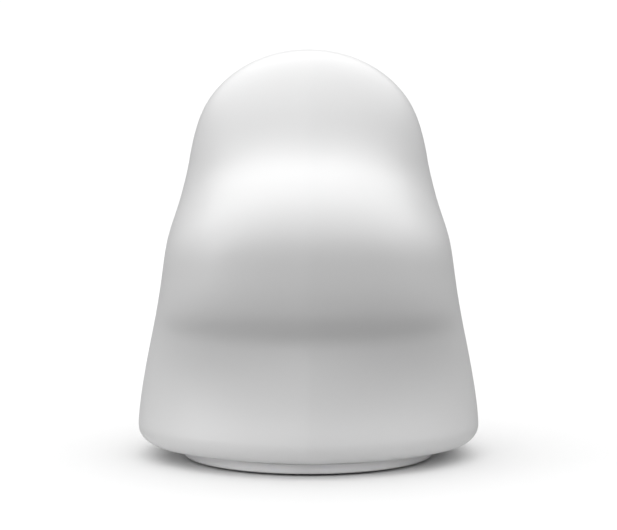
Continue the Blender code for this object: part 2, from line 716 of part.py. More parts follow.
def make_main_board():
    outline = rounded_rectangle(2 * BOARD_HALF_WIDTH, BOARD_REAR - BOARD_FRONT, BOARD_CORNER, steps=6)
    outline = moved(outline, 0, (BOARD_REAR + BOARD_FRONT) / 2)
    board = piece("main_board", prism(outline, BOARD_BOTTOM, BOARD_TOP), "board_green")
    holes = [post(0, 2 * BOARD_TOP, x, y, PILOT_RADIUS) for x, y in BOARD_SCREWS + sink_screw_places()]
    cut(board, joined(*holes))
    length = BOARD_TOP - CHASSIS_TOP
    for number, (x, y) in enumerate(BOARD_SCREWS, 1):
        piece(f"board_screw_{number}", screw(length), "screw_steel", (x, y, SEAT))


def make_status_lights():
    """Four lamps under the board, each over a light pipe."""
    for number, (x, y) in enumerate(light_pipe_places(), 1):
        lamp = standing_block(LED_SIZE, (0, 0), -LED_SIZE[2])
        piece(f"status_led_{number}", lamp, "led_white", (x, y, BOARD_BOTTOM - GAP), smooth=False)


# --- processor and heat sink ------------------------------------------------------------------------------
def sink_screw_places():
    x, y = SINK_SCREW_PLACE
    return [(CHIP_PLACE[0] - x, CHIP_PLACE[1] - y), (CHIP_PLACE[0] + x, CHIP_PLACE[1] + y)]


def sink_bottom():
    return SEAT + CHIP_SIZE[2] + GAP + THERMAL_PAD_THICKNESS + GAP


def make_processor():
    piece("main_chip", standing_block(CHIP_SIZE, CHIP_PLACE, SEAT), "chip_black", smooth=False)
    low = SEAT + CHIP_SIZE[2] + GAP
    pad = standing_block((CHIP_SIZE[0], CHIP_SIZE[1], THERMAL_PAD_THICKNESS), CHIP_PLACE, low)
    piece("thermal_pad", pad, "thermal_grey", smooth=False)


def make_heat_sink():
    """A finned block over the processor, its fins upright and running front to back, held by two screws."""
    width, depth, height = HEAT_SINK_SIZE
    low = sink_bottom()
    half = width / 2
    pitch = (width - FIN_THICKNESS) / (FIN_COUNT - 1)
    floor = low + HEAT_SINK_BASE
    outline = [(-half, low), (half, low)]
    for i in reversed(range(FIN_COUNT)):
        right = -half + i * pitch + FIN_THICKNESS
        outline += [(right, low + height), (right - FIN_THICKNESS, low + height)]
        if i > 0:
            outline += [(right - FIN_THICKNESS, floor), (right - pitch, floor)]
    front = CHIP_PLACE[1] - depth / 2
    sink = piece("heat_sink", prism(outline, front, front + depth, "Y"), "sink_aluminium", smooth=False)
    pocket = HEAD_RADIUS + 2 * GAP
    tools = []
    for x, y in sink_screw_places():
        tools.append(post(0, floor + GAP, x, y, PILOT_RADIUS))
        outer = math.copysign(half * 2, x)
        end = CHIP_PLACE[1] + math.copysign(depth, y)
        inner_x = x - math.copysign(pocket, x)
        inner_y = y - math.copysign(pocket, y)
        tools.append(block((min(inner_x, outer), min(inner_y, end), floor),
                           (max(inner_x, outer), max(inner_y, end), 2 * (low + height))))
    cut(sink, joined(tools[0], tools[2]))
    cut(sink, joined(tools[1], tools[3]))
    length = floor - BOARD_BOTTOM
    for number, (x, y) in enumerate(sink_screw_places(), 1):
        piece(f"heat_sink_screw_{number}", screw(length), "screw_steel", (x, y, floor + GAP))


# --- what else stands on the board ------------------------------------------------------------------------
def make_board_pieces():
    for side, name in ((-1, "left"), (1, "right")):
        shield = standing_block(SHIELD_SIZE, (side * SHIELD_PLACE[0], SHIELD_PLACE[1]), SEAT)
        bmesh.ops.bevel(shield, geom=shield.edges[:], offset=SHIELD_FOLD, segments=1, affect="EDGES")
        piece(f"radio_shield_{name}", shield, "shield_steel", smooth=False)
    for number, x in enumerate(NETWORK_JACK_PLACES.values(), 1):
        transformer = standing_block(TRANSFORMER_SIZE, (x, TRANSFORMER_DEPTH), SEAT)
        piece(f"ethernet_transformer_{number}", transformer, "chip_black", smooth=False)
    radius = CAPACITOR_RADIUS
    neck = radius - CAPACITOR_ROLL
    groove = CAPACITOR_GROOVE_HEIGHT
    profile = [(0, 0), (neck, 0), (radius, CAPACITOR_ROLL), (radius, groove - CAPACITOR_ROLL), (neck, groove),
               (radius, groove + CAPACITOR_ROLL), (radius, CAPACITOR_HEIGHT - CAPACITOR_ROLL),
               (neck, CAPACITOR_HEIGHT), (0, CAPACITOR_HEIGHT)]
    for number, (x, y) in enumerate(CAPACITOR_PLACES, 1):
        piece(f"capacitor_{number}", turned(profile, SMALL_SEGMENTS), "can_aluminium", (x, y, SEAT))


# --- jacks ------------------------------------------------------------------------------------------------
def make_network_jack(name, x):
    """A shielded socket with its latch slot uppermost, and the contact block at the back of it."""
    width, depth, height = NETWORK_JACK_SIZE
    body = block((x - width / 2, BAY_FLOOR - depth, SEAT), (x + width / 2, BAY_FLOOR, SEAT + height))
    jack = piece(f"{name}_jack", body, "shield_steel", smooth=False)
    across, inward, tall = SOCKET_SIZE
    low = SEAT + SOCKET_RAISE
    top = low + tall
    slot, rise = LATCH_SLOT
    mouth = [(x - across / 2, low), (x + across / 2, low), (x + across / 2, top), (x + slot / 2, top),
             (x + slot / 2, top + rise), (x - slot / 2, top + rise), (x - slot / 2, top),
             (x - across / 2, top)]
    cut(jack, prism(mouth, BAY_FLOOR - inward, BAY_FLOOR + depth, "Y"))
    back = BAY_FLOOR - inward + GAP
    tongue = low + CONTACT_TONGUE[1]
    profile = [(back, low + GAP), (back + CONTACT_TONGUE[0], low + GAP), (back + CONTACT_TONGUE[0], tongue),
               (back + CONTACT_WALL[0], tongue), (back + CONTACT_WALL[1], top - GAP), (back, top - GAP)]
    block_width = across - 2 * GAP
    bm = prism(profile, -block_width / 2, block_width / 2, "Y")
    swap = Matrix(((0, -1, 0, x), (1, 0, 0, 0), (0, 0, 1, 0), (0, 0, 0, 1)))
    piece(f"{name}_contact_block", placed(bm, swap), "jack_black", smooth=False)


def make_power_jack():
    """The round supply socket and the pin in its middle."""
    width, depth, height = POWER_JACK_SIZE
    axis = SEAT + height / 2
    front = BAY_FLOOR - depth
    body = block((POWER_JACK_X - width / 2, front, SEAT),
                 (POWER_JACK_X + width / 2, BAY_FLOOR, SEAT + height))
    jack = piece("power_jack", body, "jack_black")
    hole = prism(circle(POWER_HOLE_RADIUS, ROUND_SEGMENTS), 0, depth)
    cut(jack, facing_back(hole, POWER_JACK_X, BAY_FLOOR - POWER_HOLE_DEPTH, axis))
    length = POWER_HOLE_DEPTH - POWER_PIN_INSET
    radius = POWER_PIN_RADIUS
    pin = turned([(0, 0), (radius, 0), (radius, length - radius), (radius / 2, length), (0, length)],
                 SMALL_SEGMENTS)
    piece("power_jack_pin", facing_back(pin, 0, 0, 0), "screw_steel",
          (POWER_JACK_X, BAY_FLOOR - POWER_HOLE_DEPTH + GAP, axis))


def make_switch(name, x):
    width, depth, height = SWITCH_SIZE
    body = block((x - width / 2, SWITCH_REAR - depth, SEAT), (x + width / 2, SWITCH_REAR, SEAT + height))
    piece(name, body, "jack_black", smooth=False)


def make_buttons():
    """The reset plunger behind its pinhole, and the sync button that stands out of the bay's floor."""
    make_switch("reset_switch", RESET_X)
    make_switch("sync_switch", SYNC_X)
    start = SWITCH_REAR + BUTTON_GAP
    floor_front = BAY_FLOOR - BAY_FLOOR_THICKNESS
    flange_rear = floor_front - GAP
    flange_front = flange_rear - SYNC_FLANGE
    for name, x, radius, end in (("reset_plunger", RESET_X, RESET_PLUNGER_RADIUS, flange_rear),
                                 ("sync_plunger", SYNC_X, SYNC_PLUNGER_RADIUS, flange_front - GAP)):
        plunger = facing_back(prism(circle(radius, SMALL_SEGMENTS), 0, end - start), 0, 0, 0)
        piece(name, plunger, "jack_black", (x, start, BUTTON_AXIS))
    radius = SYNC_BUTTON_RADIUS
    length = BAY_FLOOR + SYNC_PROUD - flange_front
    profile = [(0, 0), (radius + SYNC_FLANGE, 0), (radius + SYNC_FLANGE, SYNC_FLANGE), (radius, SYNC_FLANGE),
               (radius, length - SYNC_ROLL), (radius - SYNC_ROLL, length), (0, length)]
    piece("sync_button", facing_back(turned(profile, ROUND_SEGMENTS), 0, 0, 0), "bay_white",
          (SYNC_X, flange_front, BUTTON_AXIS))


# --- port bay ---------------------------------------------------------------------------------------------
def make_port_bay():
    """The recessed tray in the rear cover. Its rim follows the housing, and its floor has the jacks' holes."""
    floor_front = BAY_FLOOR - BAY_FLOOR_THICKNESS
    bay = piece("port_bay", prism(bay_outline(0), floor_front, 2 * BAY_FLOOR, "Y"), "bay_white")
    cut(bay, housing_solid(BAY_FLUSHNESS), "INTERSECT")
    cut(bay, prism(bay_outline(-BAY_WALL), BAY_FLOOR, 3 * BAY_FLOOR, "Y"))
    holes = []
    jacks = [(x, NETWORK_JACK_SIZE) for x in NETWORK_JACK_PLACES.values()]
    jacks.append((POWER_JACK_X, POWER_JACK_SIZE))
    for x, (width, _, height) in jacks:
        holes.append(block((x - width / 2 - GAP, SEAM_DEPTH, SEAT - GAP),
                           (x + width / 2 + GAP, 2 * BAY_FLOOR, SEAT + height + GAP)))
    for x, radius in ((RESET_X, PINHOLE_RADIUS), (SYNC_X, SYNC_BUTTON_RADIUS + GAP)):
        hole = prism(circle(radius, ROUND_SEGMENTS), 0, BAY_FLOOR)
        holes.append(facing_back(hole, x, SEAM_DEPTH, BUTTON_AXIS))
    cut(bay, joined(*holes))


# --- antennas ---------------------------------------------------------------------------------------------
def arch_middle():
    return (ARCH_FRONT + ARCH_REAR) / 2


def arch_line(inset):
    """The right half of a line inside the housing's side outline, from the chassis to the top of the dome."""
    foot = CHASSIS_TOP + GAP
    line = []
    for i in range(ARCH_SIDE_STEPS):
        height = foot + (CROWN_START - foot) * i / ARCH_SIDE_STEPS
        line.append((half_width(height) - inset, height))
    rise = HEIGHT - CROWN_START - inset
    reach = half_width(CROWN_START) - inset
    for i in range(ARCH_DOME_STEPS + 1):
        angle = math.radians(90 * i / ARCH_DOME_STEPS)
        line.append((reach * math.cos(angle), CROWN_START + rise * math.sin(angle)))
    return line


def make_antenna_frame():
    """A flat arch that carries the antennas just inside the housing, with its two feet on the chassis."""
    outer = arch_line(ARCH_INSET)
    inner = arch_line(ARCH_INSET + ARCH_BAND)
    foot = CHASSIS_TOP + GAP
    outline = outer + [(-x, z) for x, z in reversed(outer[:-1])]
    outline += [(-ARCH_FOOT_INNER, foot), (-ARCH_FOOT_INNER, foot + ARCH_BAND),
                (-inner[0][0], foot + ARCH_BAND)]
    outline += [(-x, z) for x, z in inner[1:]] + [(x, z) for x, z in reversed(inner[1:-1])]
    outline += [(inner[0][0], foot + ARCH_BAND), (ARCH_FOOT_INNER, foot + ARCH_BAND), (ARCH_FOOT_INNER, foot)]
    arch = prism(outline, ARCH_FRONT, ARCH_REAR, "Y")
    frame = piece("antenna_frame", arch, "chassis_plastic", smooth=False)
    holes = [post(0, foot + 2 * ARCH_BAND, side * ARCH_SCREW_X, arch_middle(), PILOT_RADIUS)
             for side in (-1, 1)]
    cut(frame, joined(*holes))
    length = foot + ARCH_BAND - RING_TOP - 2 * GAP
    for number, side in enumerate((-1, 1), 1):
        piece(f"frame_screw_{number}", screw(length), "screw_steel",
              (side * ARCH_SCREW_X, arch_middle(), foot + ARCH_BAND + GAP))


def antenna_places():
    """Where each antenna lies on the arch's right half: its point, its outward direction and its length."""
    height, length = SIDE_ANTENNA
    slope = (half_width(height + SLOPE_STEP) - half_width(height - SLOPE_STEP)) / (2 * SLOPE_STEP)
    outward = Vector((1, 0, -slope)).normalized()
    places = [(Vector((half_width(height) - ARCH_INSET, 0, height)), outward, length)]
    degrees, length = TOP_ANTENNA
    angle = math.radians(degrees)
    reach = half_width(CROWN_START) - ARCH_INSET
    rise = HEIGHT - CROWN_START - ARCH_INSET
    point = Vector((reach * math.cos(angle), 0, CROWN_START + rise * math.sin(angle)))
    outward = Vector((math.cos(angle) / reach, 0, math.sin(angle) / rise)).normalized()
    places.append((point, outward, length))
    return places


def make_antennas():
    """Four printed antennas, two on each side, on the outer face of the arch."""
    number = 0
    for point, outward, length in antenna_places():
        for side in (-1, 1):
            number += 1
            normal = Vector((side * outward.x, 0, outward.z))
            across = Vector((0, 1, 0))
            along = normal.cross(across)
            rotation = Matrix((along, across, normal)).transposed().to_4x4()
            place = Vector((side * point.x, arch_middle(), point.z))
            place += normal * (ANTENNA_GAP + ANTENNA_THICKNESS / 2)
            size = (length, ANTENNA_WIDTH, ANTENNA_THICKNESS)
            board = standing_block(size, (0, 0), -ANTENNA_THICKNESS / 2)
            item = piece(f"antenna_{number}", board, "board_green", smooth=False)
            item.matrix_world = Matrix.Translation(place) @ rotation


def tube(name, points, radius, finish_name):
    """A lead: a round tube with closed ends along a line of points."""
    curve = bpy.data.curves.new(name, "CURVE")
    curve.dimensions = "3D"
    curve.bevel_depth = radius
    curve.bevel_resolution = 2
    curve.use_fill_caps = True
    line = curve.splines.new("POLY")
    line.points.add(len(points) - 1)
    for slot, point in zip(line.points, points):
        slot.co = (*point, 1)
    item = bpy.data.objects.new(name, curve)
    curve.materials.append(finish(finish_name))
    bpy.context.scene.collection.objects.link(item)


def make_antenna_leads():
    """Four coaxial leads, clipped along the arch's two edges, from each antenna down to the board."""
    middle = arch_line(ARCH_INSET + ARCH_BAND / 2)
    number = 0
    beside = LEAD_RADIUS + GAP
    runs = ((ARCH_FRONT - beside, SIDE_ANTENNA[0]), (ARCH_REAR + beside, CROWN_START + LEAD_OVER_CROWN))
    for edge, top_height in runs:
        for side in (-1, 1):
            number += 1
            run = [point for point in middle if SEAT + LEAD_CLIP < point[1] <= top_height]
            bend_x = (run[0][0] + LEAD_LANDING_X) / 2
            landing = [(LEAD_LANDING_X, SEAT), (LEAD_LANDING_X, SEAT + LEAD_STANDS),
                       (bend_x, SEAT + LEAD_BENDS)]
            points = [(side * x, edge, z) for x, z in landing + run]
            tube(f"antenna_lead_{number}", points, LEAD_RADIUS, "lead_black")


# --- the whole node ---------------------------------------------------------------------------------------
for old in list(bpy.data.objects):
    bpy.data.objects.remove(old)

make_front_shell()
make_rear_cover()
make_port_bay()
make_light_ring()
make_base_plate()
make_foot_pads()
make_base_screws()
make_chassis()
make_main_board()
make_status_lights()
make_processor()
make_heat_sink()
make_board_pieces()
for jack_name, jack_x in NETWORK_JACK_PLACES.items():
    make_network_jack(jack_name, jack_x)
make_power_jack()
make_buttons()
make_antenna_frame()
make_antennas()
make_antenna_leads()
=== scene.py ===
import math

import bmesh
import bpy
import numpy as np
from mathutils import Matrix, Vector


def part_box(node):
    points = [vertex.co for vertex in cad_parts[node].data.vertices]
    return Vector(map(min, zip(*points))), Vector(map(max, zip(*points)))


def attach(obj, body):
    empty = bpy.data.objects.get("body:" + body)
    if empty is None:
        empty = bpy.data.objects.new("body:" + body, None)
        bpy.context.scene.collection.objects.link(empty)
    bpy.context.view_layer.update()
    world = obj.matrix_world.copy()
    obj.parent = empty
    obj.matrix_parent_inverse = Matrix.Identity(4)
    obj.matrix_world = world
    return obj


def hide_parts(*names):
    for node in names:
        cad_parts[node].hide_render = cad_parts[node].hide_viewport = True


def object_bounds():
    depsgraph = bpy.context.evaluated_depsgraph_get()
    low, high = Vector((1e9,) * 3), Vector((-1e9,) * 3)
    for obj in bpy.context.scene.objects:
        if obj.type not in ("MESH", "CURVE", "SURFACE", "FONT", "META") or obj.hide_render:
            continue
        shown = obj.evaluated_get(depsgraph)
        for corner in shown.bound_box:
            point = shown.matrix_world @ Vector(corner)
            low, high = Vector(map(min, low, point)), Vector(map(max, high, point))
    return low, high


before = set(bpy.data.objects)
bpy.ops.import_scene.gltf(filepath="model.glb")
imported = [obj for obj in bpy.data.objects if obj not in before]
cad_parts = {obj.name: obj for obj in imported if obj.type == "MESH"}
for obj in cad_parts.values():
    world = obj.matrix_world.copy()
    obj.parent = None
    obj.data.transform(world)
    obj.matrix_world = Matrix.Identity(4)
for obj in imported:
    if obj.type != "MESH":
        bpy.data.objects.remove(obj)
cad_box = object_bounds()

# --- Rubber feet -------------------------------------------------------------------------------------------
# Four moulded silicone rubber pads glued into round recesses under the foot. Each is a disc with a rolled edge
# and a faint dish in its face, and its matt surface picks up dust and fine scuffs.


class Amount:
    """A number that varies over a surface, written in material recipes as an ordinary expression."""

    def __init__(self, recipe, socket):
        self.recipe = recipe
        self.socket = socket

    def _with(self, operation, first, second):
        return self.recipe.node("ShaderNodeMath", {0: first, 1: second}, operation=operation)

    def __add__(self, other):
        return self._with("ADD", self, other)

    __radd__ = __add__

    def __mul__(self, other):
        return self._with("MULTIPLY", self, other)

    __rmul__ = __mul__


class Recipe:
    """A material under construction: one principled shader, and nodes added by name."""

    def __init__(self, name, colour, roughness, metallic=0.0, **constants):
        self.material = bpy.data.materials.new(name)
        self.material.use_nodes = True
        self.tree = self.material.node_tree
        self.shader = self.tree.nodes["Principled BSDF"]
        self.shader.inputs["Base Color"].default_value = (*colour, 1)
        self.shader.inputs["Roughness"].default_value = roughness
        self.shader.inputs["Metallic"].default_value = metallic
        for socket, value in constants.items():
            self.shader.inputs[socket.replace("_", " ")].default_value = value

    def node(self, kind, inputs=None, output=0, stops=None, **settings):
        """Add a node, its settings first and then the values or links of its sockets, and give one output."""
        node = self.tree.nodes.new(kind)
        for name, value in settings.items():
            setattr(node, name, value)
        if stops:
            ramp = node.color_ramp
            for element, (place, shade) in zip(ramp.elements, stops):
                element.position = place
                element.color = (shade, shade, shade, 1)
        for socket, value in (inputs or {}).items():
            if isinstance(value, Amount):
                self.tree.links.new(value.socket, node.inputs[socket])
            else:
                node.inputs[socket].default_value = value
        return Amount(self, node.outputs[output])

    def place(self, stretch=(1, 1, 1)):
        """Object coordinates, stretched for brushed or drawn finishes."""
        here = self.node("ShaderNodeTexCoord", output="Object")
        return self.node("ShaderNodeMapping", {"Vector": here, "Scale": stretch})

    def noise(self, place, scale, detail=2.0, rough=0.5):
        return self.node("ShaderNodeTexNoise", {"Vector": place, "Scale": scale, "Detail": detail,
                                                "Roughness": rough}, output="Fac")

    def spread(self, amount, low, high):
        """An amount from 0 to 1 mapped between two values."""
        return low + amount * (high - low)

    def blend(self, factor, first, second):
        """A colour between two colours."""
        return self.node("ShaderNodeMix", {"Factor": factor, "A": (*first, 1), "B": (*second, 1)}, output=2,
                         data_type="RGBA")

    def bump(self, height, strength, distance, under=None):
        inputs = {"Height": height, "Strength": strength, "Distance": distance}
        if under is not None:
            inputs["Normal"] = under
        return self.node("ShaderNodeBump", inputs)

    def feed(self, **links):
        """Link amounts to the shader's sockets, with _ for a space in their names."""
        for socket, value in links.items():
            self.tree.links.new(value.socket, self.shader.inputs[socket.replace("_", " ")])
        return self.material


def mottled(name, shades, rough, tone, gloss=None, relief=None, bump=(0, 0), metallic=0.0, **constants):
    """A finish whose tone, gloss and relief follow noises, each given as a scale, detail, roughness and stretch.
    The tone runs between two shades. The gloss follows the tone's noise where it has none of its own."""
    recipe = Recipe(name, shades[0], rough[0], metallic, **constants)
    noises = {}
    for noise in (tone, gloss, relief):
        if noise and noise not in noises:
            noises[noise] = recipe.noise(recipe.place(*noise[3:]), *noise[:3])
    recipe.feed(Base_Color=recipe.blend(noises[tone], *shades),
                Roughness=recipe.spread(noises[gloss or tone], *rough))
    if relief:
        recipe.feed(Normal=recipe.bump(noises[relief], *bump))
    return recipe.material


def span(bm, lower, upper):
    """Faces between two closed rings of vertices."""
    for i in range(len(lower)):
        j = (i + 1) % len(lower)
        bm.faces.new((lower[i], lower[j], upper[j], upper[i]))


def circle(radius, segments):
    return [(radius * math.cos(math.tau * i / segments), radius * math.sin(math.tau * i / segments))
            for i in range(segments)]


def turned(profile, segments):
    """A solid of revolution about Z from (radius, height) points, closed through the axis where they reach it."""
    bm = bmesh.new()
    rings = []
    for radius, height in profile:
        points = [(0, 0)] if radius == 0 else circle(radius, segments)
        rings.append([bm.verts.new((x, y, height)) for x, y in points])
    pairs = list(zip(rings, rings[1:]))
    if len(rings[0]) > 1:
        pairs.append((rings[-1], rings[0]))
    for first, second in pairs:
        if len(first) == len(second):
            span(bm, first, second)
            continue
        tip, ring = (first[0], second) if len(first) == 1 else (second[0], first)
        for i in range(segments):
            bm.faces.new((ring[i], ring[(i + 1) % segments], tip))
    bmesh.ops.recalc_face_normals(bm, faces=bm.faces)
    return bm


def rounded(corner, radius, start, stop, steps=5):
    """Points round an edge of a turned profile: an arc about a corner point, between two directions in degrees."""
    turns = [math.radians(start + (stop - start) * i / steps) for i in range(steps + 1)]
    return [(corner[0] + radius * math.cos(turn), corner[1] + radius * math.sin(turn)) for turn in turns]


def placed(name, data):
    """An object in the scene that shows a mesh, curve, lamp or camera."""
    item = bpy.data.objects.new(name, data)
    bpy.context.scene.collection.objects.link(item)
    return item


def as_mesh(name, bm):
    mesh = bpy.data.meshes.new(name)
    bm.to_mesh(mesh)
    bm.free()
    return mesh


def new_object(name, bm, smooth_below=40):
    item = placed(name, as_mesh(name, bm))
    item.data.shade_smooth()
    item.data.set_sharp_from_angle(angle=math.radians(smooth_below))
    return item


def settled(item):
    """Apply an object's modifiers and its place to its mesh, and leave the object at the origin."""
    bpy.context.view_layer.update()
    graph = bpy.context.evaluated_depsgraph_get()
    mesh = bpy.data.meshes.new_from_object(item.evaluated_get(graph), preserve_all_data_layers=True,
                                           depsgraph=graph)
    item.modifiers.clear()
    mesh.transform(item.matrix_world)
    item.data = mesh
    item.matrix_world = Matrix.Identity(4)
    return item


def fitted(item, material, body, slot_name, *nodes):
    """Give a finished piece its material and its body, and hide the CAD nodes that it stands for."""
    item.data.materials.clear()
    item.data.materials.append(material)
    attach(item, body)
    if nodes:
        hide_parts(*nodes)
    return item


def copies_tree(name, material, random_turn):
    """Geometry nodes that put one object at each vertex of a place mesh, turned at random about Z."""
    tree = bpy.data.node_groups.new(name, "GeometryNodeTree")
    tree.interface.new_socket("Places", in_out="INPUT", socket_type="NodeSocketGeometry")
    tree.interface.new_socket("Copied piece", in_out="INPUT", socket_type="NodeSocketObject")
    tree.interface.new_socket("Most turn", in_out="INPUT", socket_type="NodeSocketFloat").default_value = random_turn
    tree.interface.new_socket("Copies", in_out="OUTPUT", socket_type="NodeSocketGeometry")
    nodes = tree.nodes
    start = nodes.new("NodeGroupInput")
    copied = nodes.new("GeometryNodeObjectInfo")
    put = nodes.new("GeometryNodeInstanceOnPoints")
    chance = nodes.new("FunctionNodeRandomValue")
    chance.data_type = "FLOAT"
    chance.inputs["Seed"].default_value = 7
    turn = nodes.new("ShaderNodeCombineXYZ")
    real = nodes.new("GeometryNodeRealizeInstances")
    coat = nodes.new("GeometryNodeSetMaterial")
    coat.inputs["Material"].default_value = material
    end = nodes.new("NodeGroupOutput")
    for source, target in (
        (start.outputs["Places"], put.inputs["Points"]),
        (start.outputs["Copied piece"], copied.inputs["Object"]),
        (start.outputs["Most turn"], chance.inputs[3]),
        (chance.outputs[1], turn.inputs["Z"]),
        (turn.outputs["Vector"], put.inputs["Rotation"]),
        (copied.outputs["Geometry"], put.inputs["Instance"]),
        (put.outputs["Instances"], real.inputs["Geometry"]),
        (real.outputs["Geometry"], coat.inputs["Geometry"]),
        (coat.outputs["Geometry"], end.inputs["Copies"]),
    ):
        tree.links.new(source, target)
    return tree


def copies(name, copied, places, material, random_turn=0.0):
    """One mesh of copies of an object at each place, made by geometry nodes. The copied object is removed."""
    mesh = bpy.data.meshes.new(name)
    mesh.from_pydata([tuple(place) for place in places], [], [])
    item = placed(name, mesh)
    tree = copies_tree(f"{name}_layout", material, random_turn)
    change = item.modifiers.new("layout", "NODES")
    change.node_group = tree
    sockets = {socket.name: socket.identifier for socket in tree.interface.items_tree if socket.in_out == "INPUT"}
    change[sockets["Copied piece"]] = copied
    change[sockets["Most turn"]] = random_turn
    settled(item)
    bpy.data.objects.remove(copied)
    item.data.shade_smooth()
    item.data.set_sharp_from_angle(angle=math.radians(40))
    return item


def centre(low, high):
    """The middle of a box, as plain numbers."""
    return [(start + end) / 2 for start, end in zip(low, high)]


def numbered(stem, count=4):
    return [f"{stem}_{number}" for number in range(1, count + 1)]


pad_names = numbered("foot_pad")
pad_boxes = [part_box(name) for name in pad_names]
pad_radius = (pad_boxes[0][1].x - pad_boxes[0][0].x) / 2
pad_top = pad_boxes[0][1].z
PAD_ROLL = 0.0004
PAD_DISH = 0.00012
pad_profile = [(0, PAD_DISH), (pad_radius * 0.55, PAD_DISH / 2), (pad_radius - 2 * PAD_ROLL, 0)]
pad_profile += rounded((pad_radius - PAD_ROLL, PAD_ROLL), PAD_ROLL, -90, 0)
pad_profile += rounded((pad_radius - PAD_ROLL / 2, pad_top - PAD_ROLL / 2), PAD_ROLL / 2, 0, 90, 3) + [(0, pad_top)]
rubber = mottled("grey_rubber", [(0.17, 0.17, 0.175), (0.25, 0.25, 0.25)], (0.75, 0.95), tone=(900, 5),
                 relief=(5200, 3), bump=(0.5, 0.00002))
feet = copies("foot_pads", new_object("pad", turned(pad_profile, 64)),
              [(*centre(*box)[:2], 0) for box in pad_boxes], rubber)
fitted(feet, rubber, "node", "grey_rubber", *pad_names)

# --- Base plate --------------------------------------------------------------------------------------------
# The foot's floor: an injection moulded disc with counterbored screw holes, recesses for the pads, two fans of
# air slots and a shallow groove near its rim. It has the fine spark texture of a part that isn't on show.


def rounded_rectangle(width, height, radius, steps=6):
    """Outline of a rounded rectangle about the origin, anticlockwise."""
    outline = []
    for quarter, (side, end) in enumerate([(1, 1), (-1, 1), (-1, -1), (1, -1)]):
        for i in range(steps + 1):
            angle = math.radians(90 * (quarter + i / steps))
            outline.append((side * (width / 2 - radius) + radius * math.cos(angle),
                            end * (height / 2 - radius) + radius * math.sin(angle)))
    return outline


def moved(outline, x, y):
    return [(point[0] + x, point[1] + y) for point in outline]


def prism(outline, low, high, along="Z"):
    """A straight prism on an outline. Along Y the outline is read as (x, z), along X as (y, z)."""
    order = {"Z": lambda a, b, c: (a, b, c), "Y": lambda a, b, c: (a, c, b), "X": lambda a, b, c: (c, a, b)}[along]
    bm = bmesh.new()
    ends = [[bm.verts.new(order(a, b, place)) for a, b in outline] for place in (low, high)]
    bm.faces.new(ends[0])
    bm.faces.new(ends[1])
    span(bm, ends[0], ends[1])
    bmesh.ops.recalc_face_normals(bm, faces=bm.faces)
    return bm


def box_solid(low, high):
    return prism([(low[0], low[1]), (high[0], low[1]), (high[0], high[1]), (low[0], high[1])], low[2], high[2])


def cut(item, *tools, operation="DIFFERENCE"):
    """Cut solids out of an object, or join them to it, and settle the result."""
    made = []
    for tool in tools:
        tool_object = new_object(f"{item.name}_tool", tool) if isinstance(tool, bmesh.types.BMesh) else tool
        change = item.modifiers.new(operation.lower(), "BOOLEAN")
        change.operation = operation
        change.solver = "EXACT"
        change.object = tool_object
        made.append(tool_object)
    settled(item)
    for tool_object in made:
        bpy.data.objects.remove(tool_object)
    return item


def eased(item, width, segments=2, angle=35):
    """Round an object's edges by a small bevel, and settle it."""
    bevel = item.modifiers.new("eased", "BEVEL")
    bevel.width = width
    bevel.segments = segments
    bevel.limit_method = "ANGLE"
    bevel.angle_limit = math.radians(angle)
    bevel.use_clamp_overlap = True
    bevel.harden_normals = True
    return settled(item)


def moulded_plastic(name, pale, dark, rough, grain_scale, grain_depth):
    """Moulded plastic: a very slight drift of tone, a spark texture and a little uneven gloss."""
    return mottled(name, [pale, dark], (rough - 0.06, rough + 0.06), tone=(45, 3), gloss=(160, 4),
                   relief=(grain_scale, 3, 0.6), bump=(0.35, grain_depth))


base_low, base_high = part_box("base_plate")
ring_low, ring_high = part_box("light_ring")
plate_radius = base_high.x
PLATE_EDGE = 0.0003
GROOVE_DEPTH = 0.00012
plate_profile = [(0, base_low.z), (plate_radius * 0.9, base_low.z), (plate_radius * 0.905, base_low.z + GROOVE_DEPTH),
                 (plate_radius * 0.925, base_low.z + GROOVE_DEPTH), (plate_radius * 0.93, base_low.z)]
plate_profile += rounded((plate_radius - PLATE_EDGE, base_low.z + PLATE_EDGE), PLATE_EDGE, -90, 0, 3)
plate_profile += rounded((plate_radius - PLATE_EDGE, base_high.z - PLATE_EDGE), PLATE_EDGE, 0, 90, 3)
plate_profile += [(0, base_high.z)]
floor_plate = new_object("base_plate_moulding", turned(plate_profile, 144))
screw_boxes = [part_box(name) for name in numbered("base_screw")]
HOLE_GAP = 0.0003
CUT_PAST = 0.001            # how far a cutter passes the face that it opens
COUNTERBORE = 0.001
SLOT_WIDTH = 0.0018
SLOT_LENGTH = 0.014
tools = []
for low, high in screw_boxes:
    head = (high.x - low.x) / 2 + HOLE_GAP
    seat = base_low.z + COUNTERBORE
    past = base_high.z + CUT_PAST
    bore = turned([(0, -CUT_PAST), (head, -CUT_PAST), (head, seat), (head * 0.55, seat), (head * 0.55, past),
                   (0, past)], 40)
    bore.transform(Matrix.Translation((*centre(low, high)[:2], 0)))
    tools.append(bore)
for box in pad_boxes:
    tools.append(prism(moved(circle(pad_radius + HOLE_GAP, 64), *centre(*box)[:2]), -CUT_PAST, pad_top + HOLE_GAP))
for side in (-1, 1):
    for i in range(-2, 3):
        slot = rounded_rectangle(SLOT_WIDTH, SLOT_LENGTH, SLOT_WIDTH / 2 - 1e-5)
        place = moved(slot, 2.4 * SLOT_WIDTH * i, 0.65 * side * SLOT_LENGTH)
        tools.append(prism(place, -CUT_PAST, base_high.z + CUT_PAST))
cut(floor_plate, *tools)
eased(floor_plate, 0.0001)
base_finish = moulded_plastic("pale_base", (0.70, 0.70, 0.705), (0.66, 0.66, 0.67), 0.62, 2600, 0.00003)
fitted(floor_plate, base_finish, "node", "pale_base", "base_plate")
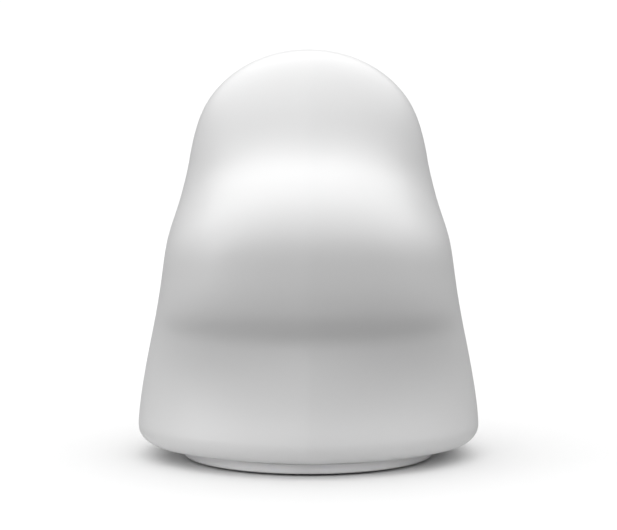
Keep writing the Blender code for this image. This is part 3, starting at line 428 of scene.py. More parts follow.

# --- Light ring --------------------------------------------------------------------------------------------
# The frosted rim of the foot, moulded in one with the neck that passes into the housing and with four pipes
# that carry light down from the board's lamps. Its outer edge is softly rolled.

housing_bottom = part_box("front_shell")[0].z
foot_radius = ring_high.x
opening_radius = foot_radius - 0.0015
neck_radius = opening_radius - HOLE_GAP
neck_inner = neck_radius - 0.0027
ring_top = housing_bottom - HOLE_GAP
neck_top = housing_bottom + 0.0022
ledge_radius = plate_radius + HOLE_GAP - 0.0017
RING_ROLL = 0.0009
ring_profile = [(plate_radius + HOLE_GAP, ring_low.z + 0.0001), (plate_radius + HOLE_GAP + 0.0002, ring_low.z)]
ring_profile += rounded((foot_radius - RING_ROLL, ring_low.z + RING_ROLL), RING_ROLL, -90, 0, 8)
ring_profile += rounded((foot_radius - RING_ROLL / 2, ring_top - RING_ROLL / 2), RING_ROLL / 2, 0, 90, 6)
ring_profile += [(neck_radius, ring_top), (neck_radius, neck_top - 0.0002), (neck_radius - 0.0002, neck_top),
                 (neck_inner, neck_top), (neck_inner, ring_top), (ledge_radius, ring_top),
                 (ledge_radius, base_high.z + HOLE_GAP), (plate_radius + HOLE_GAP, base_high.z + HOLE_GAP)]
ring = new_object("light_ring_moulding", turned(ring_profile, 200))
lamp_boxes = [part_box(name) for name in numbered("status_led")]
PIPE_RADIUS = 0.002
pipe_foot = base_high.z + 0.001
pipes = []
for box in lamp_boxes:
    pipe = turned([(0, pipe_foot), (PIPE_RADIUS, pipe_foot), (PIPE_RADIUS * 0.98, ring_high.z - 0.0003),
                   (PIPE_RADIUS * 0.85, ring_high.z), (0, ring_high.z)], 32)
    pipe.transform(Matrix.Translation((*centre(*box)[:2], 0)))
    pipes.append(pipe)
cut(ring, *pipes, operation="UNION")
frosted = mottled("frosted_ring", [(0.93, 0.93, 0.935), (0.90, 0.90, 0.91)], (0.44, 0.56), tone=(60, 3),
                  relief=(3800, 3, 0.6), bump=(0.4, 0.000015), Subsurface_Weight=0.15, Subsurface_Scale=0.002,
                  Subsurface_Radius=(0.6, 0.6, 0.7))
fitted(ring, frosted, "node", "frosted_ring", "light_ring")

# --- Screws ------------------------------------------------------------------------------------------------
# Zinc plated pan-head screws with a cross recess. Four hold the base plate up to the chassis, heads down; the
# others hold the board, the antenna frame and the heat sink. Their heads were driven home at chance angles.


def screw_solid(length, head_radius, head_height, shank_radius):
    """A pan-head screw up Z with its seat at height 0, its thread as closed ridges, and a cross cut in its head."""
    pitch = 0.00045
    profile = [(0, -length), (shank_radius * 0.45, -length), (shank_radius * 0.8, -length + shank_radius * 0.6)]
    turns = int((length - shank_radius * 1.4) / pitch)
    for i in range(turns):
        low = -length + shank_radius * 0.8 + pitch * i
        profile += [(shank_radius * 0.8, low), (shank_radius, low + pitch * 0.35), (shank_radius, low + pitch * 0.5)]
    profile += [(shank_radius * 0.8, -pitch * 0.6), (shank_radius * 0.9, 0), (head_radius - 0.0001, 0),
                (head_radius, 0.0001), (head_radius, head_height * 0.45)]
    profile += rounded((head_radius - head_height * 0.55, head_height * 0.45), head_height * 0.55, 15, 90, 5)
    profile += [(0, head_height)]
    item = new_object("screw", turned(profile, 28))
    deep = head_height * 0.7
    wide = head_radius * 0.6
    thin = head_radius * 0.16
    arms = []
    for turn in (0, 90):
        arm = prism([(-wide, head_height + CUT_PAST), (-wide * 0.45, head_height - deep),
                     (wide * 0.45, head_height - deep), (wide, head_height + CUT_PAST)], -thin, thin, "Y")
        arm.transform(Matrix.Rotation(math.radians(turn), 4, "Z"))
        arms.append(arm)
    return cut(item, *arms)


def screw_set(name, nodes, heads_down, material):
    """All the screws of one kind, at the places of their CAD nodes."""
    boxes = [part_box(node) for node in nodes]
    low, high = boxes[0]
    head_radius = (high.x - low.x) / 2
    head_height = 0.54 * head_radius
    length = high.z - low.z - head_height
    screw = screw_solid(length, head_radius, head_height, head_radius / 2)
    seat = low.z + head_height if heads_down else high.z - head_height
    if heads_down:
        screw.data.transform(Matrix.Rotation(math.pi, 4, "X"))
    places = [(*centre(*box)[:2], seat) for box in boxes]
    fitted(copies(name, screw, places, material, math.tau), material, "node", "screw_steel", *nodes)


steel = mottled("screw_steel", [(0.464, 0.464, 0.48), (0.58, 0.58, 0.60)], (0.22, 0.45), tone=(900, 4),
                relief=(2600, 2), bump=(0.25, 0.00001), metallic=1.0)
for kind, count in (("base", 4), ("board", 4), ("frame", 2), ("heat_sink", 2)):
    screw_set(f"{kind}_screws", numbered(f"{kind}_screw", count), kind == "base", steel)

# --- Chassis and antenna frame -----------------------------------------------------------------------------
# Glass-filled black mouldings inside the housing. The chassis is clamped on the housing's flange by the base
# screws; the arch stands on it. Both keep the moulder's coarse texture, with pale flow marks of the glass.


def dressed(material, *nodes):
    """Give CAD nodes that stay in view a finish."""
    for node in nodes:
        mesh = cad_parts[node].data
        mesh.materials.clear()
        mesh.materials.append(material)


glass_filled_black = mottled("chassis_plastic", [(0.035, 0.035, 0.037), (0.085, 0.085, 0.088)], (0.42, 0.7),
                             tone=(220, 6, 0.65, (1, 1, 4)), relief=(2200, 3), bump=(0.4, 0.00003))
dressed(glass_filled_black, "chassis", "antenna_frame")

# --- Main board --------------------------------------------------------------------------------------------
# A green fibreglass board. The solder resist is satin and shows the weave of the laminate faintly, with copper
# tracks as slightly paler lines.


def solder_resist():
    recipe = Recipe("board_green", (0.02, 0.13, 0.06), 0.35, Coat_Weight=0.3)
    place = recipe.place()
    weave = recipe.node("ShaderNodeTexBrick", {"Vector": place, "Scale": 900.0, "Mortar Size": 0.05}, output="Fac")
    tracks = recipe.node("ShaderNodeTexVoronoi", {"Vector": place, "Scale": 420.0}, output="Distance",
                         distance="MANHATTAN")
    line = recipe.node("ShaderNodeValToRGB", {"Fac": tracks}, stops=[(0.42, 0.0), (0.5, 1.0)])
    return recipe.feed(Base_Color=recipe.blend(line, (0.015, 0.11, 0.05), (0.03, 0.19, 0.09)),
                       Roughness=recipe.spread(recipe.noise(place, 300, 4), 0.28, 0.42),
                       Normal=recipe.bump(weave, 0.2, 0.00001))


board_finish = solder_resist()
dressed(board_finish, "main_board", *numbered("antenna"))

# --- Processor, shields and the tall parts -----------------------------------------------------------------
# The processor under its thermal pad and heat sink, two tinned radio shields, the network transformers, three
# electrolytic cans and the four lamps, soldered to the board, and the leads that run up to the antennas.


def drawn_aluminium(name, stretch):
    """Aluminium drawn or extruded along the axis that its lines are stretched on."""
    lines = (500, 4, 0.5, stretch)
    return mottled(name, [(0.62, 0.63, 0.64), (0.78, 0.79, 0.80)], (0.25, 0.45), tone=lines, relief=lines,
                   bump=(0.3, 0.00002), metallic=1.0)


tinned_sheet = mottled("shield_steel", [(0.60, 0.59, 0.57), (0.76, 0.75, 0.72)], (0.2, 0.42),
                       tone=(180, 5, 0.5, (1, 8, 1)), relief=(900, 2, 0.5, (1, 20, 1)), bump=(0.2, 0.00001),
                       metallic=1.0)
epoxy_black = mottled("chip_black", [(0.02, 0.02, 0.021), (0.04, 0.04, 0.042)], (0.42, 0.6), tone=(4200, 2),
                      gloss=(500, 3), relief=(4200, 2), bump=(0.4, 0.00001))
thermal_silicone = mottled("thermal_grey", [(0.34, 0.42, 0.49), (0.46, 0.54, 0.60)], (0.75, 0.95), tone=(1500, 4),
                           relief=(1500, 4), bump=(0.4, 0.00003))
lamp_resin = mottled("led_white", [(0.92, 0.88, 0.60), (0.88, 0.86, 0.72)], (0.25, 0.4), tone=(700, 3))
lead_jacket = mottled("lead_black", [(0.03, 0.03, 0.032), (0.06, 0.06, 0.062)], (0.4, 0.6), tone=(800, 3))
dressed(epoxy_black, "main_chip", *numbered("ethernet_transformer", 2))
dressed(thermal_silicone, "thermal_pad")
dressed(tinned_sheet, "radio_shield_left", "radio_shield_right")
dressed(drawn_aluminium("can_aluminium", (1, 1, 12)), *numbered("capacitor", 3))
dressed(drawn_aluminium("sink_aluminium", (1, 14, 1)), "heat_sink")
dressed(lamp_resin, *numbered("status_led"))
dressed(lead_jacket, *numbered("antenna_lead"))

# --- Network jacks -----------------------------------------------------------------------------------------
# Two shielded sockets on the board's rear edge. A folded tinned shell wraps a black liner; eight gold plated
# contact wires spring out of each contact block, and the latch slot is uppermost.


def tube_along(name, points, radius):
    """A round wire through points, as a mesh."""
    curve = bpy.data.curves.new(name, "CURVE")
    curve.dimensions = "3D"
    curve.bevel_depth = radius
    curve.bevel_resolution = 3
    curve.use_fill_caps = True
    line = curve.splines.new("POLY")
    line.points.add(len(points) - 1)
    for vertex, point in zip(line.points, points):
        vertex.co = (*point, 1)
    item = placed(name, curve)
    bpy.context.view_layer.update()
    mesh = bpy.data.meshes.new_from_object(item.evaluated_get(bpy.context.evaluated_depsgraph_get()))
    mesh.shade_smooth()
    bpy.data.objects.remove(item)
    return placed(name, mesh)


def back_outline(low, high, corner, steps, margin=0.0):
    """Outline of a box seen from the back, grown by a margin, with rounded corners."""
    x, _, z = centre(low, high)
    return moved(rounded_rectangle(high.x - low.x + 2 * margin, high.z - low.z + 2 * margin, corner, steps), x, z)


black_moulding = mottled("jack_black", [(0.024, 0.024, 0.025), (0.042, 0.042, 0.044)], (0.38, 0.52),
                         tone=(3000, 3), gloss=(260, 3), relief=(3000, 3), bump=(0.35, 0.00002))
gold = mottled("contact_gold", [(0.90, 0.66, 0.28), (0.97, 0.76, 0.38)], (0.16, 0.32), tone=(1400, 3),
               metallic=1.0)
SHEET = 0.00035
LINER = 0.0005
CONTACT_PITCH = 0.00102
CONTACT_WIRE = 0.00021


def network_jack(name):
    """One socket with its shell, liner, contact carrier and eight contact wires."""
    low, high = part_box(f"{name}_jack")
    back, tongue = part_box(f"{name}_contact_block")
    middle = (low.x + high.x) / 2
    half = (tongue.x - back.x) / 2 + HOLE_GAP
    socket_low = back.z - HOLE_GAP
    socket_top = tongue.z + HOLE_GAP
    slot_half = 0.0031
    slot_top = socket_top + 0.0022
    inward = back.y - HOLE_GAP

    def mouth(grow):
        side = [(half + grow, socket_low - grow), (half + grow, socket_top + grow),
                (slot_half + grow, socket_top + grow), (slot_half + grow, slot_top + grow)]
        return [(middle + x, z) for x, z in side] + [(middle - x, z) for x, z in reversed(side)]

    shell = new_object(f"{name}_jack_shell", prism(back_outline(low, high, 0.0005, 4), low.y, high.y, "Y"))
    fold = box_solid((middle - 0.00008, low.y - CUT_PAST, high.z - 0.00015),
                     (middle + 0.00008, high.y + CUT_PAST, high.z + CUT_PAST))
    dimples = []
    for side in (-1, 1):
        face = low.x if side < 0 else high.x
        dimples.append(box_solid((face - 0.00018, high.y - 0.0085, low.z + 0.004),
                                 (face + 0.00018, high.y - 0.0025, high.z - 0.0045)))
    cut(shell, prism(mouth(0), inward, high.y + CUT_PAST, "Y"), fold, *dimples)
    eased(shell, 0.00012)
    fitted(shell, tinned_sheet, "node", "shield_steel", f"{name}_jack")

    liner = new_object(f"{name}_jack_liner", prism(mouth(-0.00002), inward + 0.00005, high.y - SHEET, "Y"))
    cut(liner, prism(mouth(-LINER), inward - CUT_PAST, high.y + CUT_PAST, "Y"))
    eased(liner, 0.00008)
    fitted(liner, black_moulding, "node", "jack_black")

    width = half - LINER - 0.0001
    step = tongue.y - 0.0002
    profile = [(back.y + 0.0001, back.z + 0.0003), (step, back.z + 0.0003), (step, back.z + 0.00068),
               (back.y + 0.0030, back.z + 0.00068), (back.y + 0.0016, tongue.z - 0.0004),
               (back.y + 0.0001, tongue.z - 0.0004)]
    block = new_object(f"{name}_contact_carrier", prism(profile, middle - width, middle + width, "X"))
    grooves = [box_solid((middle + CONTACT_PITCH * (i - 3.5) - 0.00028, back.y + 0.0031, back.z + 0.00055),
                         (middle + CONTACT_PITCH * (i - 3.5) + 0.00028, step + 1, 1)) for i in range(8)]
    cut(block, *grooves)
    fitted(block, black_moulding, "node", "jack_black", f"{name}_contact_block")

    route = [(0, back.y + 0.0012, tongue.z - 0.0012), (0, back.y + 0.0030, tongue.z - 0.0024),
             (0, back.y + 0.0075, back.z + 0.0016), (0, back.y + 0.0088, back.z + 0.0009),
             (0, back.y + 0.0100, back.z + 0.0009)]
    wire = tube_along("contact", route, CONTACT_WIRE)
    wires = copies(f"{name}_contacts", wire, [(middle + CONTACT_PITCH * (i - 3.5), 0, 0) for i in range(8)], gold)
    fitted(wires, gold, "node", "jack_black")


network_jack("wan")
network_jack("lan")

# --- Supply jack -------------------------------------------------------------------------------------------
# The barrel socket for the adapter: a black block with a chamfered round mouth, a sprung sleeve contact along
# one side of the bore and a plated pin with a rounded nose down its middle.

jack_low, jack_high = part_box("power_jack")
pin_low, pin_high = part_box("power_jack_pin")
BARREL_RADIUS = 0.0028
MOUTH_CHAMFER = 0.0005
pin_radius = (pin_high.x - pin_low.x) / 2
axis_x, _, axis_z = centre(pin_low, pin_high)


def laid_back(bm, low, high, y):
    """Lay a solid turned about +Z along +Y, down the middle of a box, its height zero at y."""
    x, _, z = centre(low, high)
    bm.transform(Matrix.Translation((x, y, z)) @ Matrix.Rotation(math.radians(-90), 4, "X"))
    return bm


supply_jack = new_object("power_jack_body", prism(back_outline(jack_low, jack_high, 0.0004, 3), jack_low.y,
                                                  jack_high.y, "Y"))
bore_start = pin_low.y - HOLE_GAP
depth = jack_high.y - bore_start
wide = BARREL_RADIUS + MOUTH_CHAMFER
barrel = turned([(0, 0), (BARREL_RADIUS, 0), (BARREL_RADIUS, depth - MOUTH_CHAMFER), (wide, depth),
                 (wide, depth + CUT_PAST), (0, depth + CUT_PAST)], 64)
cut(supply_jack, laid_back(barrel, pin_low, pin_high, bore_start))
eased(supply_jack, 0.0001)
fitted(supply_jack, black_moulding, "node", "jack_black", "power_jack")
pin_length = pin_high.y - pin_low.y
pin_profile = [(0, 0), (pin_radius * 0.9, 0), (pin_radius, 0.0001), (pin_radius, pin_length - pin_radius)]
pin_profile += rounded((0, pin_length - pin_radius), pin_radius, 10, 80, 6) + [(0, pin_length)]
pin = new_object("power_pin", laid_back(turned(pin_profile, 40), pin_low, pin_high, pin_low.y))
fitted(pin, steel, "node", "screw_steel", "power_jack_pin")
STRIP_HALF = 0.0008
strip_low = axis_z - BARREL_RADIUS
sleeve = new_object("power_sleeve_contact",
                    box_solid((axis_x - STRIP_HALF, bore_start + HOLE_GAP, strip_low + 0.00005),
                              (axis_x + STRIP_HALF, jack_high.y - 0.0014, strip_low + 0.0004)))
eased(sleeve, 0.0001)
fitted(sleeve, tinned_sheet, "node", "shield_steel")

# --- Switches and buttons ----------------------------------------------------------------------------------
# Two sealed push switches on the board, with the parts that press them: a short round sync button that stands
# out of the bay's floor with its plunger, and the reset plunger behind its pinhole.

for switch in ("sync_switch", "reset_switch"):
    low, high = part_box(switch)
    case = new_object(f"{switch}_case", prism(back_outline(low, high, 0.0003, 3), low.y, high.y, "Y"))
    grooves = [box_solid((face - 0.0001, low.y + 0.0042, low.z - CUT_PAST),
                         (face + 0.0001, low.y + 0.0044, high.z + CUT_PAST)) for face in (low.x, high.x)]
    cut(case, *grooves)
    eased(case, 0.0001)
    fitted(case, black_moulding, "node", "jack_black", switch)

bay_finish = moulded_plastic("bay_white", (0.76, 0.76, 0.76), (0.72, 0.72, 0.725), 0.5, 2400, 0.00002)


def rod(name, node, edge):
    """A round pusher along Y with eased ends."""
    low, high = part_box(node)
    radius = (high.x - low.x) / 2
    length = high.y - low.y
    profile = [(0, 0), (radius - edge, 0), (radius, edge), (radius, length - edge)]
    profile += rounded((radius - edge, length - edge), edge, 0, 90, 4) + [(0, length)]
    return new_object(name, laid_back(turned(profile, 40), low, high, low.y))


fitted(rod("reset_pusher", "reset_plunger", 0.0002), black_moulding, "reset", "jack_black", "reset_plunger")
fitted(rod("sync_pusher", "sync_plunger", 0.0002), black_moulding, "sync", "jack_black", "sync_plunger")
button_low, button_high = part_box("sync_button")
flange_radius = (button_high.x - button_low.x) / 2
FLANGE_THICKNESS = 0.0008
cap_radius = flange_radius - FLANGE_THICKNESS
cap_length = button_high.y - button_low.y
CAP_ROLL = 0.0005
cap_profile = [(0, 0), (flange_radius - 0.0001, 0), (flange_radius, 0.0001),
               (flange_radius, FLANGE_THICKNESS - 0.0001), (flange_radius - 0.0001, FLANGE_THICKNESS),
               (cap_radius, FLANGE_THICKNESS)]
cap_profile += rounded((cap_radius - CAP_ROLL, cap_length - CAP_ROLL), CAP_ROLL, 0, 90, 6)
cap_profile += [(cap_radius * 0.7, cap_length), (cap_radius * 0.55, cap_length - 0.00018), (0, cap_length - 0.00025)]
cap = new_object("sync_cap", laid_back(turned(cap_profile, 64), button_low, button_high, button_low.y))
fitted(cap, bay_finish, "sync", "bay_white", "sync_button")

# --- Housing shells ----------------------------------------------------------------------------------------
# The white housing, moulded in two halves that meet in an upright seam behind the middle. Its side view is a
# dome over a rounded brow, a full middle and a flared skirt; the brow arches down to the sides, and a soft keel
# runs down the front. The wall is even, its edges are eased, and a flange below carries the chassis.

HOUSING_TOP = cad_box[1].z
SKIRT_LIFT = housing_bottom
HALF_SKIRT = cad_box[1].x
EDGE_RADIUS = 0.007
CROWN_START = 0.1023
REAR_CROWN_START = 0.084
FRONT_CROWN_POWER = 2.6
REAR_SQUARENESS = 2.5
WALL = 0.0022
BROW_ARCH_POWER = 3.1
KEEL_HEIGHT = 0.001
KEEL_WIDTH = 0.008
KEEL_SOFTNESS = 0.0008
PAINT_DEPTH = 0.00004       # keeps the fine surface inside the coarse one
SIDE_LINE = [(0.004, 1.002), (0.0115, 1.0), (0.024, 0.976), (0.039, 0.929), (0.054, 0.879), (0.067, 0.846),
             (0.075, 0.822), (0.081, 0.791), (0.086, 0.762), (0.094, 0.7235), (0.102, 0.694), (0.111, 0.680),
             (0.121, 0.687), (0.139, 0.696)]
FRONT_DEPTH = [(0.004, 0.0500), (0.0115, 0.0505), (0.019, 0.0494), (0.029, 0.0482), (0.037, 0.0478),
               (0.042, 0.0479), (0.045, 0.0483), (0.0475, 0.0492), (0.0505, 0.0508), (0.0535, 0.0521),
               (0.057, 0.0530), (0.060, 0.0535), (0.064, 0.0539), (0.070, 0.0541), (0.075, 0.0540),
               (0.0795, 0.0534), (0.084, 0.0521), (0.0883, 0.0500), (0.092, 0.0473), (0.0955, 0.0438),
               (0.0985, 0.0400), (0.1013, 0.0358), (0.104, 0.0321), (0.1075, 0.0288), (0.113, 0.0258),
               (0.120, 0.0235), (0.128, 0.0212), (0.139, 0.0183)]
FRONT_SQUARENESS = [(0.004, 1.86), (0.034, 1.87), (0.054, 2.35), (0.072, 2.5), (0.088, 2.5), (0.099, 2.25),
                    (0.110, 2.05), (0.122, 2.0), (0.139, 2.0)]
REAR_DEPTH = [(0.004, 0.0543), (0.0115, 0.0547), (0.029, 0.0541), (0.049, 0.0519), (0.069, 0.0486),
              (0.089, 0.0441), (0.109, 0.0390), (0.124, 0.0361), (0.139, 0.0340)]
BROW_DROP = [(0.004, 0.0), (0.019, 0.0), (0.044, 0.0), (0.059, 0.003), (0.074, 0.009), (0.087, 0.0145),
             (0.099, 0.0173), (0.109, 0.016), (0.121, 0.008), (0.131, 0.002), (0.139, 0.0)]


def spline_through(points):
    """A natural cubic spline through (height, value) points, as a function of an array of heights."""
    knots = np.array([point[0] for point in points])
    values = np.array([point[1] for point in points])
    count = len(knots)
    steps = np.diff(knots)
    system = np.eye(count)
    right = np.zeros(count)
    for i in range(1, count - 1):
        system[i, i - 1:i + 2] = steps[i - 1], 2 * (steps[i - 1] + steps[i]), steps[i]
        right[i] = 6 * ((values[i + 1] - values[i]) / steps[i] - (values[i] - values[i - 1]) / steps[i - 1])
    bend = np.linalg.solve(system, right)

    def value(height):
        x = np.clip(height, knots[0], knots[-1])
        i = np.clip(np.searchsorted(knots, x, side="right") - 1, 0, count - 2)
        above = knots[i + 1] - x
        below = x - knots[i]
        step = steps[i]
        return ((bend[i] * above ** 3 + bend[i + 1] * below ** 3) / (6 * step)
                + (values[i] / step - bend[i] * step / 6) * above
                + (values[i + 1] / step - bend[i + 1] * step / 6) * below)

    return value


side_line = spline_through(SIDE_LINE)
front_depth = spline_through(FRONT_DEPTH)
front_squareness = spline_through(FRONT_SQUARENESS)
rear_depth = spline_through(REAR_DEPTH)
brow_drop = spline_through(BROW_DROP)
half_skirt = HALF_SKIRT / float(np.max(side_line(np.linspace(0.009, 0.014, 60))))


def crown(height, start, power):
    """1 below the dome's start, falling to 0 at the top as a superellipse does."""
    share = np.clip((height - start) / (HOUSING_TOP - start), 0, 1)
    return (1 - share ** power) ** (1 / power)


def outside(angle, rise):
    """Points of the housing's outer surface at angles, 0 at the front, and stations: 0 to 1 round the lower edge,
    1 to 2 up the side and 2 to 3 over the dome."""
    edge_turn = np.radians(90) * np.clip(rise, 0, 1)
    dome_turn = np.radians(90) * np.clip(rise - 2, 0, 1)
    side_low = SKIRT_LIFT + EDGE_RADIUS
    height = (SKIRT_LIFT + EDGE_RADIUS * (1 - np.cos(edge_turn)) + (CROWN_START - side_low) * np.clip(rise - 1, 0, 1)
              + (HOUSING_TOP - CROWN_START) * np.sin(dome_turn))
    inset = EDGE_RADIUS * (1 - np.sin(edge_turn))
    across = np.sin(angle)
    along = np.cos(angle)
    lowered = height - brow_drop(height) * np.abs(across) ** BROW_ARCH_POWER
    width = half_skirt * side_line(lowered) * crown(lowered, CROWN_START, 2.0) - inset
    front = along > 0
    depth = np.where(front, front_depth(height) * crown(height, CROWN_START, FRONT_CROWN_POWER),
                     rear_depth(height) * crown(height, REAR_CROWN_START, 2.0)) - inset
    power = np.where(front, front_squareness(height), REAR_SQUARENESS)
    reach = (np.abs(across) ** power + np.abs(along) ** power) ** (-1 / power)
    x = width * across * reach
    y = -depth * along * reach
    keel = KEEL_HEIGHT * np.exp(-np.hypot(x, KEEL_SOFTNESS) / KEEL_WIDTH) * crown(height, CROWN_START, 2.0)
    y = y - np.where(front, keel * along, 0)
    return np.stack([x, y, lowered], -1)


SKIN_STEP = 0.003
TOP_STATION = 2.985         # slopes are measured no higher than this


def skin(angle, rise, depth):
    """Points that lie a depth under the outer surface, measured square to it."""
    low = np.clip(rise - SKIN_STEP, 0, None)
    high = np.clip(rise + SKIN_STEP, None, TOP_STATION)
    up = outside(angle, high) - outside(angle, low)
    near = np.minimum(rise, TOP_STATION)
    around = outside(angle + SKIN_STEP, near) - outside(angle - SKIN_STEP, near)
    inward = np.cross(up, around)
    inward /= np.linalg.norm(inward, axis=-1, keepdims=True)
    return outside(angle, rise) + inward * depth


COLUMNS = 176
FRONT_SPREAD = 0.62         # spacing of the columns at the front, as a share of the even one


def column_angles():
    """Angles round the housing, closer together at the front where the keel is."""
    quarter = COLUMNS // 4
    steps = np.arange(-quarter, quarter) / quarter
    front = np.pi / 2 * (FRONT_SPREAD * steps + (1 - FRONT_SPREAD) * steps ** 3)
    return np.concatenate([front, np.pi / 2 * (2 + steps)])


def stations(edge, side, dome):
    """Stations from the underside to near the top, with so many steps on each of the three stretches."""
    return np.concatenate([np.arange(edge) / edge, 1 + np.arange(side) / side, 2 + np.arange(dome) / dome])


def skin_patch(depth, rises):
    """An open surface at a depth under the housing's surface, closed at its top, and its rings from below."""
    angles, heights = np.meshgrid(column_angles(), rises)
    points = skin(angles, heights, depth)
    bm = bmesh.new()
    rings = [[bm.verts.new(point) for point in row] for row in points.tolist()]
    top = bm.verts.new((0, 0, HOUSING_TOP - depth))
    for lower, upper in zip(rings, rings[1:]):
        span(bm, lower, upper)
    for i in range(COLUMNS):
        bm.faces.new((rings[-1][i], rings[-1][(i + 1) % COLUMNS], top))
    return bm, rings


SEAM_DEPTH = 0.014
SEAM_EASE = 0.00028         # radius that the seam's outer edges are rounded to
OUTER_STEPS = (10, 118, 44)
INNER_STEPS = (4, 46, 16)


def sliced_open(bm, place, keep_front, fillet):
    """Cut an open surface at the seam plane and, with a fillet, roll its edge inwards there."""
    direction = 1 if keep_front else -1
    offsets = [0] if not fillet else [0] + [fillet * share for share in (0.12, 0.3, 0.6, 1.0)]
    for offset in reversed(offsets):
        everything = bm.verts[:] + bm.edges[:] + bm.faces[:]
        bmesh.ops.bisect_plane(bm, geom=everything, dist=1e-8, plane_co=(0, place - direction * offset, 0),
                               plane_no=(0, direction, 0), clear_outer=offset == 0)
    if fillet:
        bm.normal_update()
        moves = []
        for vertex in bm.verts:
            left = fillet - abs(vertex.co.y - place)
            if left > 0:
                moves.append((vertex, vertex.normal * (fillet - math.sqrt(fillet ** 2 - left ** 2))))
        for vertex, inward in moves:
            vertex.co -= Vector((inward.x, 0, inward.z)) if abs(vertex.co.y - place) < 1e-7 else inward


def half_housing(name, keep_front):
    """One half of the housing: its outer and inner surfaces, the flange below, and the flat face at the seam."""
    place = SEAM_DEPTH + (-HOLE_GAP / 2 if keep_front else HOLE_GAP / 2)
    whole = bmesh.new()
    for depth, rises in ((PAINT_DEPTH, stations(*OUTER_STEPS)), (WALL, stations(*INNER_STEPS))):
        patch, rings = skin_patch(depth, rises)
        height = SKIRT_LIFT + (depth if depth == WALL else 0)
        rim = []
        for vertex, angle in zip(rings[0], column_angles()):
            vertex.co.z = height
            rim.append(patch.verts.new((opening_radius * math.sin(angle), -opening_radius * math.cos(angle), height)))
        span(patch, rim, rings[0])
        bmesh.ops.recalc_face_normals(patch, faces=patch.faces)
        sliced_open(patch, place, keep_front, SEAM_EASE if depth == PAINT_DEPTH else 0)
        mesh = as_mesh("patch", patch)
        whole.from_mesh(mesh)
        bpy.data.meshes.remove(mesh)
    open_edges = [edge for edge in whole.edges if edge.is_boundary]
    opening = [edge for edge in open_edges if all(abs(math.hypot(*vertex.co.xy) - opening_radius) < 2e-4
                                                  and vertex.co.z < SKIRT_LIFT + 2 * WALL for vertex in edge.verts)]
    bmesh.ops.bridge_loops(whole, edges=opening)
    bmesh.ops.holes_fill(whole, edges=[edge for edge in whole.edges if edge.is_boundary], sides=0)
    bmesh.ops.recalc_face_normals(whole, faces=whole.faces)
    return new_object(name, whole, 50)


def housing_white():
    """Satin white polycarbonate with a fine moulded grain and the slightest waviness."""
    recipe = Recipe("white_shell", (0.80, 0.80, 0.80), 0.42, Coat_Weight=0.12, Coat_Roughness=0.25)
    place = recipe.place()
    drift = recipe.noise(place, 22, 3)
    speck = recipe.noise(place, 1700, 4, 0.6)
    smear = recipe.noise(place, 90, 5)
    wave = recipe.noise(place, 55, 1)
    fine = recipe.bump(speck, 0.22, 0.000012)
    return recipe.feed(Base_Color=recipe.blend(drift * 0.6 + speck * 0.4, (0.81, 0.81, 0.81), (0.775, 0.775, 0.777)),
                       Roughness=recipe.spread(smear, 0.36, 0.48),
                       Normal=recipe.bump(wave, 0.05, 0.0002, fine))


white = housing_white()
front_half = half_housing("front_housing", True)
fitted(front_half, white, "node", "white_shell", "front_shell")

# --- Rear cover --------------------------------------------------------------------------------------------
# The back half, with seven air vents up its slope and the window for the port bay. The real one has a lip that
# sits inside the front half; nothing of it shows once the halves are together, so here they meet at a plain seam.

VENT_COUNT = 7
VENT_LOWEST = 0.091
VENT_PITCH = 0.0052
VENT_HEIGHT = 0.0022
VENT_LONGEST = 0.044
VENT_SHORTENING = 0.0032
bay_low, bay_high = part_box("port_bay")
BAY_CORNER = 0.004
CUT_FROM = SEAM_DEPTH + 0.008   # the cutters reach from behind the seam to past the housing's rear
CUT_TO = 0.087


def bay_outline(margin):
    return back_outline(bay_low, bay_high, BAY_CORNER + margin, 10, margin)


rear_half = half_housing("rear_housing", False)
vents = []
for i in range(VENT_COUNT):
    slot = rounded_rectangle(VENT_LONGEST - VENT_SHORTENING * i, VENT_HEIGHT, VENT_HEIGHT / 2 - 1e-5, 8)
    vents.append(prism(moved(slot, 0, VENT_LOWEST + VENT_PITCH * i), CUT_FROM, CUT_TO, "Y"))
cut(rear_half, prism(bay_outline(HOLE_GAP), CUT_FROM, CUT_TO, "Y"), *vents)
rear_half.data.set_sharp_from_angle(angle=math.radians(40))
even_shading = rear_half.modifiers.new("even_shading", "WEIGHTED_NORMAL")
even_shading.keep_sharp = True
settled(rear_half)
fitted(rear_half, white, "node", "white_shell", "rear_cover")

# --- Port bay ----------------------------------------------------------------------------------------------
# The recessed tray that frames the jacks. Its rim follows the housing, its floor is flush with the jacks'
# mouths, and it is moulded in a duller white than the housing.

BAY_WALL = 0.0015
BAY_FLOOR_THICKNESS = 0.002
RIM_DEPTH = 0.0002          # how far the rim stays under the housing's surface
BAY_STEPS = (8, 100, 24)
HOLE_START = 0.02           # the holes in the bay's floor are cut from well in front of it
PINHOLE_RADIUS = 0.0011
HOLE_CHAMFER = 0.0003
bay_floor = bay_low.y + BAY_FLOOR_THICKNESS
housing, rings = skin_patch(PAINT_DEPTH + RIM_DEPTH, stations(*BAY_STEPS))
housing.faces.new(list(reversed(rings[0])))
bmesh.ops.recalc_face_normals(housing, faces=housing.faces)
bay = new_object("port_bay_tray", prism(bay_outline(0), bay_low.y, CUT_TO, "Y"))
cut(bay, housing, operation="INTERSECT")
openings = [prism(bay_outline(-BAY_WALL), bay_floor, CUT_TO, "Y")]
for node in ("wan_jack", "lan_jack", "power_jack"):
    openings.append(prism(back_outline(*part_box(node), 0.0006, 3, HOLE_GAP), HOLE_START, CUT_TO, "Y"))
floor_depth = bay_floor - HOLE_START
